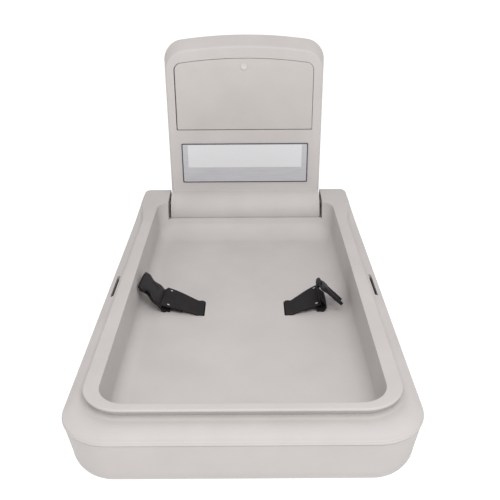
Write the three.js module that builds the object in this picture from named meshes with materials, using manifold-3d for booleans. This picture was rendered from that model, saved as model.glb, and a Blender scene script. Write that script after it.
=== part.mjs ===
// Fold-down baby changing station: a wall unit with a liner door, and a moulded bed that hangs on a
// barrel hinge at the unit's foot. Millimetres. x runs to the right, y towards the wall and z up.
// The wall is y = 0, the hinge axis is z = 0, and the bed is modelled open, as in use.
import * as THREE from 'three';
import { mergeVertices } from 'three/addons/utils/BufferGeometryUtils.js';
import Module from 'manifold-3d';

const wasm = await Module();
wasm.setup();

// Clearances
const SEAT_GAP = 0.3;
const RUN_GAP = 0.35;

// How far a cutting tool runs past a face, and a joined piece runs into its neighbour
const PAST = 1;

// Wall unit: a moulded housing over a steel back plate
const AXIS_TO_WALL = 40;
const UNIT_HALF_WIDTH = 187;
const UNIT_DRAFT = 6;
const UNIT_TOP = 401;
const UNIT_FOOT = 16;
const TOP_SLOPE = 20;
const ARCH_RADIUS = 1060;
const UNIT_CORNER = 40;
const FACE_EDGE = 4;
const UNIT_SKIN = 3;
const BARREL_RADIUS = 32.5;
const BARREL_INSET = 3;
const PLATE_THICKNESS = 2.5;
const KEYHOLE_X = 120;
const KEYHOLE_LOW = 95;
const KEYHOLE_BELOW_TOP = 39;
const KEYHOLE_HEAD = 8;
const KEYHOLE_NECK = 4;
const KEYHOLE_RISE = 16;
const HOUSING_BOSS_INSET = 16;
const HOUSING_BOSS_Z = [62, 300];
const HOUSING_BOSS_RADIUS = 5;
const SCREW_RADIUS = 2.2;
const SCREW_HEAD_RADIUS = 4.8;
const SCREW_HEAD = 2.4;
const SCREW_LENGTH = 18;

// Bare plate on the housing's face
const LABEL_BORDER = 27;
const LABEL_LOW = 54;
const LABEL_HEIGHT = 101;
const LABEL_CORNER = 6;
const LABEL_THICKNESS = 1;
const LABEL_SUNK = 0.6;

// Liner door and the pocket behind it
const DOOR_SIDE_BORDER = 18.5;
const DOOR_TOP_BORDER = 27;
const DOOR_LOW = 188;
const DOOR_CORNER = 14;
const DOOR_GAP = 2;
const DOOR_SKIN = 3;
const DOOR_SUNK = 0.6;
const DOOR_TILT = 15;
const DOOR_PIN_RISE = 6;
const DOOR_PIN_DEPTH = 6.5;
const DOOR_PIN_RADIUS = 1.8;
const DOOR_LUG = 9;
const DOOR_BOSS = 8;
const DOOR_HEEL = 11;
const DOOR_HEEL_THICKNESS = 2;
const DOOR_BOSS_WALL = 2;
const CATCH_RADIUS = 7.4;
const CATCH_FLAT = 5.2;
const CATCH_BELOW_TOP = 18;
const CATCH_PROUD = 1.6;
const CATCH_SHANK = 3;
const CATCH_REACH = 12;
const POCKET_INSET = 14.5;
const POCKET_BELOW_DOOR = 4;
const POCKET_WALL = 2;
const POCKET_SETBACK = 9;
const POCKET_SCREW_X = 95;
const POCKET_SCREW_BELOW_TOP = 50;
const POCKET_SCREW_RADIUS = 1.5;
const POCKET_SCREW_HEAD_RADIUS = 3;

// Hinge inside the barrel
const SHAFT_RADIUS = 8;
const BRACKET_INSET = 34;
const BRACKET_THICKNESS = 5;
const HUB_CLEAR = 3.5;
const BRACKET_HEIGHT = 62;
const BRACKET_FOOT = 26;
const BUSH_WALL = 2.6;
const BUSH_FLANGE = 3;
const BUSH_TO_PEG = 1;
const BUSH_LENGTH = 8;
const DAMPER_CLEAR = 5.5;
const DAMPER_LENGTH = 84;
const PEG_RADIUS = 2.5;
const PEG_EDGE = 4;
const STOP_PIN_RADIUS = 4;
const STOP_PIN_EDGE = 1.5;
const STOP_PIN_ANGLE = 135;
const DOG_WIDTH = 12;
const DOG_TO_PIN = 2.5;
const DOG_PAST_PIN = 0.5;
const DOG_HALF_WIDTH = 4;

// Bed: an upper tray moulding on a lower shell. Distances from the hinge axis.
const EAR_WIDTH = 73;
const BED_FRONT = 866;
const BED_REAR = 28;
const BED_CORNER = 67;
const EAR_CORNER = 16;
const EAR_ROUND = 9;
const FLANGE_EDGE = 3;
const RIM_RISE = 23.2;
const SHOULDER_SIDE = 27.3;
const SHOULDER_FRONT = 37;
const SHOULDER_DROP = 26.5;
const SHOULDER_STARTS = 82;
const SHOULDER_FULL = 167;
const RIM_STEP = 9;
const STEP_COVE = 4.5;
const RIM_EDGE = 1.5;
const RIM_SIDE = 23;
const RIM_FRONT = 16.5;
const RIM_CORNER = 57;
const TRAY_CORNER = 40;
const TRAY_REAR_LAND = 3.9;
const TRAY_REAR_CORNER = 32;
const TRAY_DEPTH = 80.8;
const TRAY_DRAFT = 3;
const FLOOR_FILLET = 27;
const BED_WALL = 3.5;
const BEAD = 1.2;
const BEAD_HEIGHT = 4;
const BARREL_GAP = 4;
const LIP_DROP = 22;
const BED_DEPTH = 119.2;
const SHELL_TAPER = 8;
const SHELL_ROUND = 38;
const SHAFT_HOLE_GAP = 3;
const BAG_SLOT_INSET = 13;
const BAG_SLOT_FRONT = 480;
const BAG_SLOT_LENGTH = 83;
const BAG_SLOT_WIDTH = 6;

// Steel frame between the tray and the shell
const ARM_THICKNESS = 5;
const ARM_TO_TRAY = 4;
const ARM_HUB = 17;
const ARM_HUB_TURN = 108;
const ARM_NECK = 45;
const ARM_NECK_RISE = 7;
const ARM_REACH = 250;
const RAIL_WIDTH = 18;
const RAIL_HEIGHT = 30;
const RAIL_WALL = 2;
const RAIL_REAR = 75;
const RAIL_TO_FRONT = 106;
const CROSS_BAR_TO_END = [125, 160];
const CROSS_BAR_WIDTH = 30;
const CROSS_BAR_CLEAR = 11.1;
const BOLT_RADIUS = 3.9;
const BOLT_HEAD = 6.5;
const BOLT_HEAD_HEIGHT = 3;
const BOLT_TO_END = [130, 30];
const SHAFT_NUT_RADIUS = 13;
const SHAFT_NUT_LENGTH = 8;
const SHELL_BOSS_X = 150;
const SHELL_BOSS_REAR = 120;
const SHELL_BOSS_TO_BAR = 90;
const SHELL_BOSS_TO_FRONT = 126;
const SHELL_BOSS_RADIUS = 6;

// Safety straps and the side-release buckle
const STRAP_WIDTH = 50;
const STRAP_THICKNESS = 2.2;
const STRAP_SLOT_X = 81;
const STRAP_SLOT_Y = 420;
const STRAP_SLOT_WIDTH = 6;
const STRAP_SLOT_SPARE = 6;
const STRAP_ROLL = 4.6;
const ANCHOR_WIDTH = 26;
const ANCHOR_LENGTH = 74;
const ANCHOR_THICKNESS = 3;
const STRAP_TAIL = 16;
const STRAP_CROWN = 1.5;
const STRAP_STEPS = 5;
const STRAP_DOUBLED_FROM = 2;
const BUCKLE_HALF_WIDTH = 29;
const BUCKLE_END_HALF = 26;
const BUCKLE_THICKNESS = 13;
const BAR_SLOT_HALF = 20;
const BAR_SLOT = 3.8;
const BAR_SLOT_AT = 4;
const SOCKET_LENGTH = 54;
const SOCKET_WALL = 2.5;
const SOCKET_BULGE_AT = 12;
const SOCKET_WAIST_HALF = 22.5;
const SOCKET_WAIST_AT = 30;
const SOCKET_DEPTH = 38;
const WINDOW_FROM = 23;
const WINDOW_TO = 37;
const PLUG_BASE = 17;
const PLUG_THICKNESS = 10.4;
const PLUG_WIDEST_AT = 6;
const PRONG_LENGTH = 38;
const PRONG_OUT = 21;
const PRONG_WIDTH = 9;
const PRONG_TIP = 6;
const PRONG_THICKNESS = 7;
const HOOK = 4.5;
const HOOK_AT = 17;
const HOOK_LENGTH = 6.5;
const GUIDE_WIDTH = 4.5;
const GUIDE_LENGTH = 29;

// How the straps and buckle halves lie: in from the tray's side, back from the slot and up from the floor
const LEFT_END_FAR = [56.7, 43, 24.6];
const LEFT_END_NEAR = [52.7, -7, 19.6];
const SOCKET_BASE_AT = [44.7, 13, 20.6];
const SOCKET_TIP_AT = [15.7, 15, 63.6];
const SOCKET_ACROSS = new THREE.Vector3(0.04, 1, 0.04);
const RIGHT_END_FAR = [69.7, 38, 29.6];
const RIGHT_END_NEAR = [67.7, -10, 21.6];
const PLUG_BASE_AT = [56.7, 21, 47.6];
const PLUG_TIP_AT = [15.6, -5.4, 22.3];
const PLUG_ACROSS = new THREE.Vector3(0.13, 0.86, -0.49);

// Facets
const CORNER_STEPS = 7;
const CURVE_STEPS = 5;
const EAR_STEPS = 4;
const EAR_RINGS = 6;
const ARCH_STEPS = 5;
const FILLET_STEPS = 4;
const BLEND_STEPS = 5;
const HEX_SIDES = 6;
const SMALL_SIDES = 12;
const SMALL_RADIUS = 7;
const ROUND_SIDES = 20;
const LARGE_RADIUS = 28;
const LARGE_SIDES = 56;
const MERGE = 1e-4;
const LEAST_CORNER = 1;

// Derived levels and lines
const DEGREE = Math.PI / 180;
const FLOOR_Z = RIM_RISE - TRAY_DEPTH;
const SEAM_Z = RIM_RISE - SHOULDER_DROP - BEAD_HEIGHT;
const BED_BOTTOM = RIM_RISE - BED_DEPTH;
const TROUGH_RADIUS = BARREL_RADIUS + BARREL_GAP;
const BARREL_HALF_LENGTH = UNIT_HALF_WIDTH - BARREL_INSET;
const NOTCH_HALF = BARREL_HALF_LENGTH + BARREL_GAP;
const FACE_HALF_WIDTH = UNIT_HALF_WIDTH - UNIT_DRAFT;
const BED_HALF_WIDTH = UNIT_HALF_WIDTH + EAR_WIDTH;
const BAG_SLOT_X = BED_HALF_WIDTH - BAG_SLOT_INSET;
const KEYHOLE_Z = [KEYHOLE_LOW, UNIT_TOP - KEYHOLE_BELOW_TOP];
const HOUSING_BOSS_X = UNIT_HALF_WIDTH - HOUSING_BOSS_INSET;
const LABEL_HALF_WIDTH = FACE_HALF_WIDTH - LABEL_BORDER;
const DOOR_HALF_WIDTH = FACE_HALF_WIDTH - DOOR_SIDE_BORDER - DOOR_GAP;
const DOOR_TOP = UNIT_TOP - TOP_SLOPE - DOOR_TOP_BORDER;
const POCKET_HALF_WIDTH = DOOR_HALF_WIDTH - POCKET_INSET;
const POCKET_TOP = DOOR_TOP - POCKET_BELOW_DOOR;
const POCKET_SCREW_Z = POCKET_TOP - POCKET_SCREW_BELOW_TOP;
const BORE_RADIUS = BARREL_RADIUS - UNIT_SKIN;
const BRACKET_X = BARREL_HALF_LENGTH - BRACKET_INSET;
const BRACKET_HUB = BORE_RADIUS - HUB_CLEAR;
const STOP_PIN_ORBIT = BRACKET_HUB - STOP_PIN_RADIUS - STOP_PIN_EDGE;
const DOG_COLLAR = STOP_PIN_ORBIT - STOP_PIN_RADIUS - DOG_TO_PIN;
const DOG_REACH = STOP_PIN_ORBIT + STOP_PIN_RADIUS + DOG_PAST_PIN;
const DAMPER_RADIUS = BORE_RADIUS - DAMPER_CLEAR;
const PEG_ORBIT = DAMPER_RADIUS - PEG_RADIUS - PEG_EDGE;
const BUSH_FLANGE_RADIUS = PEG_ORBIT - PEG_RADIUS - BUSH_TO_PEG;
const TRAY_REAR = TROUGH_RADIUS + TRAY_REAR_LAND;
const RAIL_FRONT = BED_FRONT - RAIL_TO_FRONT;
const CROSS_BAR_Y = [RAIL_REAR + CROSS_BAR_TO_END[0], RAIL_FRONT - CROSS_BAR_TO_END[1]];
const BOLT_Y = BOLT_TO_END.map((back) => ARM_REACH - back);
const SHELL_BOSS_Y = [SHELL_BOSS_REAR, CROSS_BAR_Y[1] - SHELL_BOSS_TO_BAR, BED_FRONT - SHELL_BOSS_TO_FRONT];
const DOOR_PIN_Z = DOOR_LOW + DOOR_PIN_RISE;
const DOOR_PIN_Y = -AXIS_TO_WALL + DOOR_PIN_DEPTH;
const DOOR_FACE_Y = -AXIS_TO_WALL + DOOR_SUNK;
const DOOR_BACK_Y = DOOR_FACE_Y + DOOR_SKIN;
const UNDER_FLOOR = FLOOR_Z - BED_WALL;
const CROSS_BAR_HEIGHT = UNDER_FLOOR - BED_BOTTOM - BED_WALL - CROSS_BAR_CLEAR;

// Materials
const plastic = new THREE.MeshStandardMaterial({ color: 0xcac5c2, roughness: 0.55, metalness: 0 });
const doorPlastic = new THREE.MeshStandardMaterial({ color: 0xc8c3c0, roughness: 0.55, metalness: 0 });
const pocketPlastic = new THREE.MeshStandardMaterial({ color: 0x8d8986, roughness: 0.7, metalness: 0 });
const whiteNylon = new THREE.MeshStandardMaterial({ color: 0xe6e4e0, roughness: 0.5, metalness: 0 });
const silverPlate = new THREE.MeshStandardMaterial({ color: 0xb4b4b6, roughness: 0.4, metalness: 0.6 });
const zincSteel = new THREE.MeshStandardMaterial({ color: 0x9b9fa3, roughness: 0.4, metalness: 0.9 });
const darkSteel = new THREE.MeshStandardMaterial({ color: 0x4a4c50, roughness: 0.5, metalness: 0.8 });
const webbing = new THREE.MeshStandardMaterial({ color: 0x2b292b, roughness: 0.9, metalness: 0 });
const bucklePlastic = new THREE.MeshStandardMaterial({ color: 0x222123, roughness: 0.5, metalness: 0 });

// Solids: closed geometry in, joined and cut, closed geometry out
function toSolid(geometry) {
  const bare = geometry.clone();
  bare.deleteAttribute('normal');
  bare.deleteAttribute('uv');
  const merged = mergeVertices(bare, MERGE);
  const vertProperties = new Float32Array(merged.attributes.position.array);
  const triVerts = new Uint32Array(merged.index.array);
  return new wasm.Manifold(new wasm.Mesh({ numProp: 3, vertProperties, triVerts }));
}

function toGeometry(solid) {
  const { vertProperties, triVerts } = solid.getMesh();
  const geometry = new THREE.BufferGeometry();
  geometry.setAttribute('position', new THREE.BufferAttribute(new Float32Array(vertProperties), 3));
  geometry.setIndex(new THREE.BufferAttribute(new Uint32Array(triVerts), 1));
  geometry.computeVertexNormals();
  return geometry;
}

// A solid turned, moved or mirrored by a matrix
function moved(solid, matrix) {
  const geometry = toGeometry(solid).applyMatrix4(matrix);
  if (matrix.determinant() < 0) {
    geometry.index.array.reverse();
  }
  return toSolid(geometry);
}

const join = (first, ...others) => others.reduce((sum, one) => sum.add(one), first);
const cut = (first, ...others) => others.reduce((rest, one) => rest.subtract(one), first);

// Facets round a bar
function sidesFor(radius) {
  if (radius < SMALL_RADIUS) {
    return SMALL_SIDES;
  }
  return radius < LARGE_RADIUS ? ROUND_SIDES : LARGE_SIDES;
}

function block(x0, x1, y0, y1, z0, z1) {
  const box = new THREE.BoxGeometry(x1 - x0, y1 - y0, z1 - z0);
  return toSolid(box.translate((x0 + x1) / 2, (y0 + y1) / 2, (z0 + z1) / 2));
}

// A round bar along x from x0 to x1
function barX(radius, x0, x1, y, z, sides = sidesFor(radius)) {
  const bar = new THREE.CylinderGeometry(radius, radius, x1 - x0, sides);
  return toSolid(bar.rotateZ(-Math.PI / 2).translate((x0 + x1) / 2, y, z));
}

// A round bar along y from y0 to y1
function barY(radius, y0, y1, x, z, sides = sidesFor(radius)) {
  const bar = new THREE.CylinderGeometry(radius, radius, y1 - y0, sides);
  return toSolid(bar.translate(x, (y0 + y1) / 2, z));
}

// A round bar along z from z0 to z1
function barZ(radius, z0, z1, x, y, sides = sidesFor(radius)) {
  const bar = new THREE.CylinderGeometry(radius, radius, z1 - z0, sides);
  return toSolid(bar.rotateX(Math.PI / 2).translate(x, y, (z0 + z1) / 2));
}

const shapeOf = (points) => new THREE.Shape(points.map(([a, b]) => new THREE.Vector2(a, b)));

function extrude(shape, depth) {
  return new THREE.ExtrudeGeometry(shape, { depth, bevelEnabled: false, curveSegments: CURVE_STEPS });
}

// An outline drawn in (y, z), run along x
function profileX(shape, x0, x1) {
  const turn = new THREE.Matrix4().makeBasis(
    new THREE.Vector3(0, 1, 0), new THREE.Vector3(0, 0, 1), new THREE.Vector3(1, 0, 0));
  return toSolid(extrude(shape, x1 - x0).applyMatrix4(turn).translate(x0, 0, 0));
}

// An outline drawn in (x, z), run along y
function profileY(shape, y0, y1) {
  return toSolid(extrude(shape, y1 - y0).rotateX(Math.PI / 2).translate(0, y1, 0));
}

// A closed skin over rings of equal point counts, with a fan over each end
function loft(rings) {
  const count = rings[0].length;
  const positions = rings.flat(2);
  const faces = [];
  for (let r = 0; r + 1 < rings.length; r++) {
    for (let i = 0; i < count; i++) {
      const next = (i + 1) % count;
      const a = r * count + i;
      const b = r * count + next;
      faces.push(a, b, b + count, a, b + count, a + count);
    }
  }
  [rings[0], rings[rings.length - 1]].forEach((ring, end) => {
    const centre = positions.length / 3;
    for (let axis = 0; axis < 3; axis++) {
      positions.push(ring.reduce((sum, point) => sum + point[axis], 0) / count);
    }
    const first = end === 0 ? 0 : (rings.length - 1) * count;
    for (let i = 0; i < count; i++) {
      const next = (i + 1) % count;
      faces.push(centre, first + (end === 0 ? next : i), first + (end === 0 ? i : next));
    }
  });
  if (enclosedVolume(positions, faces) < 0) {
    faces.reverse();
  }
  const geometry = new THREE.BufferGeometry();
  geometry.setAttribute('position', new THREE.Float32BufferAttribute(positions, 3));
  geometry.setIndex(faces);
  return toSolid(geometry);
}

function enclosedVolume(positions, faces) {
  const corner = (index) => new THREE.Vector3().fromArray(positions, index * 3);
  let volume = 0;
  for (let i = 0; i < faces.length; i += 3) {
    const across = corner(faces[i + 1]).cross(corner(faces[i + 2]));
    volume += corner(faces[i]).dot(across) / 6;
  }
  return volume;
}

const lerp = THREE.MathUtils.lerp;

const station = new THREE.Group();
const wallUnit = new THREE.Group();
const bed = new THREE.Group();
bed.position.y = -AXIS_TO_WALL;
station.add(wallUnit, bed);

function place(group, name, solid, material) {
  const mesh = new THREE.Mesh(toGeometry(solid), material);
  mesh.name = name;
  group.add(mesh);
}

const SIDES = [['left', -1], ['right', 1]];
const MIRROR = new THREE.Matrix4().makeScale(-1, 1, 1);
const mirrored = (solid, sign) => (sign < 0 ? moved(solid, MIRROR) : solid);

// Outlines of the wall unit

// An arched panel: upright sides, rounded shoulders and a flat arch on top
function archOutline(halfWidth, bottom, top, corner) {
  const archCentre = top - ARCH_RADIUS;
  const cornerX = halfWidth - corner;
  const reach = ARCH_RADIUS - corner;
  const cornerZ = archCentre + Math.sqrt(reach * reach - cornerX * cornerX);
  const tilt = Math.atan2(cornerX, cornerZ - archCentre);
  const right = [[halfWidth, bottom]];
  for (let i = 0; i <= CORNER_STEPS; i++) {
    const angle = (Math.PI / 2 - tilt) * i / CORNER_STEPS;
    right.push([cornerX + corner * Math.cos(angle), cornerZ + corner * Math.sin(angle)]);
  }
  for (let i = 1; i <= ARCH_STEPS; i++) {
    const angle = tilt * (1 - i / ARCH_STEPS);
    right.push([ARCH_RADIUS * Math.sin(angle), archCentre + ARCH_RADIUS * Math.cos(angle)]);
  }
  const left = right.slice(0, -1).reverse().map(([x, z]) => [-x, z]);
  return [...right, ...left];
}

const unitHalfWidth = (y) => UNIT_HALF_WIDTH + UNIT_DRAFT * y / AXIS_TO_WALL;
const unitTop = (y) => UNIT_TOP + TOP_SLOPE * y / AXIS_TO_WALL;

// One ring of the unit's skin at depth y, drawn in by an inset
function unitRing(y, inset) {
  const outline = archOutline(
    unitHalfWidth(y) - inset, -UNIT_FOOT + inset, unitTop(y) - inset, UNIT_CORNER - inset);
  return outline.map(([x, z]) => [x, y, z]);
}

function housing() {
  const edgeStart = -AXIS_TO_WALL + FACE_EDGE;
  const outerRings = [unitRing(0, 0)];
  for (let i = 0; i <= FILLET_STEPS; i++) {
    const angle = i / FILLET_STEPS * Math.PI / 2;
    const y = edgeStart - FACE_EDGE * Math.sin(angle);
    outerRings.push(unitRing(y, FACE_EDGE * (1 - Math.cos(angle))));
  }
  const innerFront = -AXIS_TO_WALL + UNIT_SKIN;
  const hollow = loft([unitRing(PAST, UNIT_SKIN), unitRing(innerFront, UNIT_SKIN)]);
  const inside = BARREL_HALF_LENGTH - UNIT_SKIN;
  const outside = BARREL_HALF_LENGTH;
  const barrel = barX(BARREL_RADIUS, -outside, outside, -AXIS_TO_WALL, 0);
  const bore = barX(BORE_RADIUS, -inside, inside, -AXIS_TO_WALL, 0);
  const shaftHole = SHAFT_RADIUS + SHAFT_HOLE_GAP;
  const shaftWay = barX(shaftHole, -outside - PAST, outside + PAST, -AXIS_TO_WALL, 0);
  const doorWay = shapeOf(archOutline(
    DOOR_HALF_WIDTH + DOOR_GAP, DOOR_LOW - DOOR_GAP, DOOR_TOP + DOOR_GAP, DOOR_CORNER + DOOR_GAP));
  const opening = profileY(doorWay, -AXIS_TO_WALL - PAST, innerFront + PAST);
  const labelBed = labelSolid(SEAT_GAP, -AXIS_TO_WALL - PAST, -AXIS_TO_WALL + LABEL_SUNK);
  let shell = cut(join(loft(outerRings), barrel), hollow, bore, shaftWay, opening, labelBed);
  const bossEnd = -PLATE_THICKNESS - SEAT_GAP;
  for (const [, sign] of SIDES) {
    for (const z of HOUSING_BOSS_Z) {
      const x = sign * HOUSING_BOSS_X;
      const boss = barY(HOUSING_BOSS_RADIUS, innerFront - PAST, bossEnd, x, z);
      const pilot = barY(SCREW_RADIUS + SEAT_GAP, bossEnd - SCREW_LENGTH, bossEnd + PAST, x, z);
      shell = cut(join(shell, boss), pilot);
    }
    shell = join(shell, mirrored(doorBoss(innerFront), sign));
  }
  return shell;
}

// Bearing block for a door pin, behind the housing's face beside the door opening
function doorBoss(innerFront) {
  const near = DOOR_HALF_WIDTH + DOOR_GAP + SEAT_GAP;
  const far = near + DOOR_BOSS;
  return doorEye(near, far, innerFront - PAST, RUN_GAP);
}

// Block with an eye for a door pin, from y0 back
function doorEye(x0, x1, y0, gap) {
  const half = DOOR_PIN_RADIUS + RUN_GAP + DOOR_BOSS_WALL;
  const body = block(x0, x1, y0, DOOR_PIN_Y + half, DOOR_PIN_Z - half, DOOR_PIN_Z + half);
  return cut(body, barX(DOOR_PIN_RADIUS + gap, x0 - PAST, x1 + PAST, DOOR_PIN_Y, DOOR_PIN_Z));
}

// The face plate, or its bed in the housing when grown
function labelSolid(grow, y0, y1) {
  const half = LABEL_HALF_WIDTH + grow;
  const low = LABEL_LOW - grow;
  const high = LABEL_LOW + LABEL_HEIGHT + grow;
  return profileY(roundedRectangle(-half, half, low, high, LABEL_CORNER + grow), y0, y1);
}

function roundedRectangle(x0, x1, z0, z1, radius) {
  const shape = new THREE.Shape();
  shape.absarc(x1 - radius, z1 - radius, radius, 0, Math.PI / 2);
  shape.absarc(x0 + radius, z1 - radius, radius, Math.PI / 2, Math.PI);
  shape.absarc(x0 + radius, z0 + radius, radius, Math.PI, Math.PI * 1.5);
  shape.absarc(x1 - radius, z0 + radius, radius, Math.PI * 1.5, Math.PI * 2);
  return shape;
}

function wallPlate() {
  const front = -PLATE_THICKNESS;
  const inset = UNIT_SKIN + SEAT_GAP;
  const outline = unitRing(front, inset).map(([x, , z]) => [x, z]);
  let plate = profileY(shapeOf(outline), front, 0);
  for (const [, sign] of SIDES) {
    for (const z of KEYHOLE_Z) {
      const x = sign * KEYHOLE_X;
      const head = barY(KEYHOLE_HEAD, front - PAST, PAST, x, z);
      const neck = block(x - KEYHOLE_NECK, x + KEYHOLE_NECK, front - PAST, PAST, z, z + KEYHOLE_RISE);
      const end = barY(KEYHOLE_NECK, front - PAST, PAST, x, z + KEYHOLE_RISE);
      plate = cut(plate, head, neck, end);
    }
    for (const z of HOUSING_BOSS_Z) {
      plate = cut(plate, housingScrew(SEAT_GAP, sign, z));
    }
    plate = cut(plate, pocketScrewHole(sign, front - PAST, PAST));
  }
  return plate;
}

// A countersunk screw along y, or its hole when grown: the head ends at y = 0, the shank points to the room
function screwGeometry(grow) {
  const head = SCREW_HEAD_RADIUS + grow;
  const shank = SCREW_RADIUS + grow;
  const top = grow > 0 ? PAST : -SEAT_GAP;
  const slope = head + top + SEAT_GAP;
  const tip = -SCREW_LENGTH;
  const profile = [[0, tip], [shank, tip], [shank, -SCREW_HEAD - grow], [slope, top], [0, top]];
  return new THREE.LatheGeometry(profile.map(([r, y]) => new THREE.Vector2(r, y)), SMALL_SIDES);
}

// Screw from the back of the wall plate into a boss of the housing
function housingScrew(grow, sign, z) {
  return toSolid(screwGeometry(grow).translate(sign * HOUSING_BOSS_X, 0, z));
}

// Steel bracket: a web that carries the shaft, with a foot on the back plate
function bracket() {
  const back = -PLATE_THICKNESS - SEAT_GAP;
  const foot = back - BRACKET_THICKNESS;
  const low = -UNIT_FOOT + UNIT_SKIN + SEAT_GAP + PAST;
  const far = BRACKET_X + BRACKET_THICKNESS;
  const neck = -AXIS_TO_WALL + BRACKET_HUB / 2;
  const web = shapeOf([
    [back, low], [back, BRACKET_HEIGHT], [foot, BRACKET_HEIGHT], [neck, BRACKET_HUB],
    [-AXIS_TO_WALL, BRACKET_HUB / 2], [-AXIS_TO_WALL, -BRACKET_HUB / 2], [neck, low]]);
  const hub = barX(BRACKET_HUB, BRACKET_X, far, -AXIS_TO_WALL, 0);
  const sole = block(BRACKET_X - BRACKET_FOOT, BRACKET_X + PAST, foot, back, low, BRACKET_HEIGHT);
  const body = join(profileX(web, BRACKET_X, far), hub, sole);
  const bushHole = barX(bushOuter() + SEAT_GAP, BRACKET_X - PAST, far + PAST, -AXIS_TO_WALL, 0);
  const [pinY, pinZ] = stopPinPlace();
  const pinHole = barX(STOP_PIN_RADIUS + SEAT_GAP, BRACKET_X - PAST, far + PAST, pinY, pinZ);
  return cut(body, bushHole, pinHole, ...pegs(PEG_RADIUS + SEAT_GAP, BRACKET_X - PAST, far + PAST));
}

const bushOuter = () => SHAFT_RADIUS + RUN_GAP + BUSH_WALL;

function pegs(radius, x0, x1) {
  return [-1, 1].map((side) => barX(radius, x0, x1, -AXIS_TO_WALL + side * PEG_ORBIT, 0));
}

function stopPinPlace() {
  const angle = STOP_PIN_ANGLE * DEGREE;
  return [-AXIS_TO_WALL + STOP_PIN_ORBIT * Math.cos(angle), STOP_PIN_ORBIT * Math.sin(angle)];
}

function bush() {
  const start = BRACKET_X - SEAT_GAP;
  const flange = barX(BUSH_FLANGE_RADIUS, start - BUSH_FLANGE, start, -AXIS_TO_WALL, 0);
  const sleeve = barX(bushOuter(), start - PAST, start + BUSH_LENGTH, -AXIS_TO_WALL, 0);
  return cut(join(flange, sleeve), shaftClear(start - BUSH_FLANGE - PAST, start + BUSH_LENGTH + PAST));
}

const shaftClear = (x0, x1) => barX(SHAFT_RADIUS + RUN_GAP, x0, x1, -AXIS_TO_WALL, 0);

function damper() {
  const end = BRACKET_X - BUSH_FLANGE - SEAT_GAP * 2;
  const start = end - DAMPER_LENGTH;
  const body = barX(DAMPER_RADIUS, start, end, -AXIS_TO_WALL, 0);
  const reach = BRACKET_X + BRACKET_THICKNESS;
  return cut(join(body, ...pegs(PEG_RADIUS, end - PAST, reach)), shaftClear(start - PAST, end + PAST));
}

function stopPin() {
  const [y, z] = stopPinPlace();
  const start = BRACKET_X - BUSH_FLANGE + SEAT_GAP;
  return barX(STOP_PIN_RADIUS, start, dogStart() + DOG_WIDTH, y, z);
}

const dogStart = () => BRACKET_X + BUSH_LENGTH + SEAT_GAP;

// Stop dog on the shaft: its arm lands on the stop pin when the bed is level
function stopDog() {
  const apart = Math.asin((STOP_PIN_RADIUS + DOG_HALF_WIDTH + SEAT_GAP) / STOP_PIN_ORBIT);
  const angle = STOP_PIN_ANGLE * DEGREE - apart;
  const x0 = dogStart();
  const collar = barX(DOG_COLLAR, x0, x0 + DOG_WIDTH, 0, 0);
  const arm = block(x0, x0 + DOG_WIDTH, 0, DOG_REACH, -DOG_HALF_WIDTH, DOG_HALF_WIDTH);
  const turned = moved(arm, new THREE.Matrix4().makeRotationX(angle));
  const hole = barX(SHAFT_RADIUS + SEAT_GAP, x0 - PAST, x0 + DOG_WIDTH + PAST, 0, 0);
  return cut(join(collar, turned), hole);
}

// Liner pocket: an open-fronted bin on the back plate. Its floor stops the door's heel at full tilt.
function pocketFloor() {
  const tilt = DOOR_TILT * DEGREE;
  const heelTop = DOOR_PIN_RISE - DOOR_HEEL_THICKNESS;
  const rise = DOOR_HEEL * Math.sin(tilt) - heelTop * Math.cos(tilt);
  return DOOR_PIN_Z + rise + SEAT_GAP;
}

function linerPocket() {
  const back = -PLATE_THICKNESS - SEAT_GAP;
  const front = -AXIS_TO_WALL + POCKET_SETBACK;
  const low = pocketFloor();
  const half = POCKET_HALF_WIDTH;
  const wall = POCKET_WALL;
  const bin = block(-half, half, front, back, low, POCKET_TOP);
  const room = block(-half + wall, half - wall, front - PAST, back - wall, low + wall, POCKET_TOP - wall);
  const holes = SIDES.map(([, sign]) => pocketScrewHole(sign, back - wall - PAST, back + PAST));
  return cut(bin, room, ...holes);
}

function pocketScrewHole(sign, y0, y1) {
  return barY(POCKET_SCREW_RADIUS + SEAT_GAP, y0, y1, sign * POCKET_SCREW_X, POCKET_SCREW_Z);
}

// Pan-head screw through the pocket's back into the back plate
function pocketScrew(sign) {
  const seat = -PLATE_THICKNESS - SEAT_GAP - POCKET_WALL - SEAT_GAP;
  const x = sign * POCKET_SCREW_X;
  const head = barY(POCKET_SCREW_HEAD_RADIUS, seat - SCREW_HEAD, seat, x, POCKET_SCREW_Z);
  const shank = barY(POCKET_SCREW_RADIUS, seat - PAST, -SEAT_GAP, x, POCKET_SCREW_Z);
  return join(head, shank);
}

const catchZ = () => DOOR_TOP - CATCH_BELOW_TOP;

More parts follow.
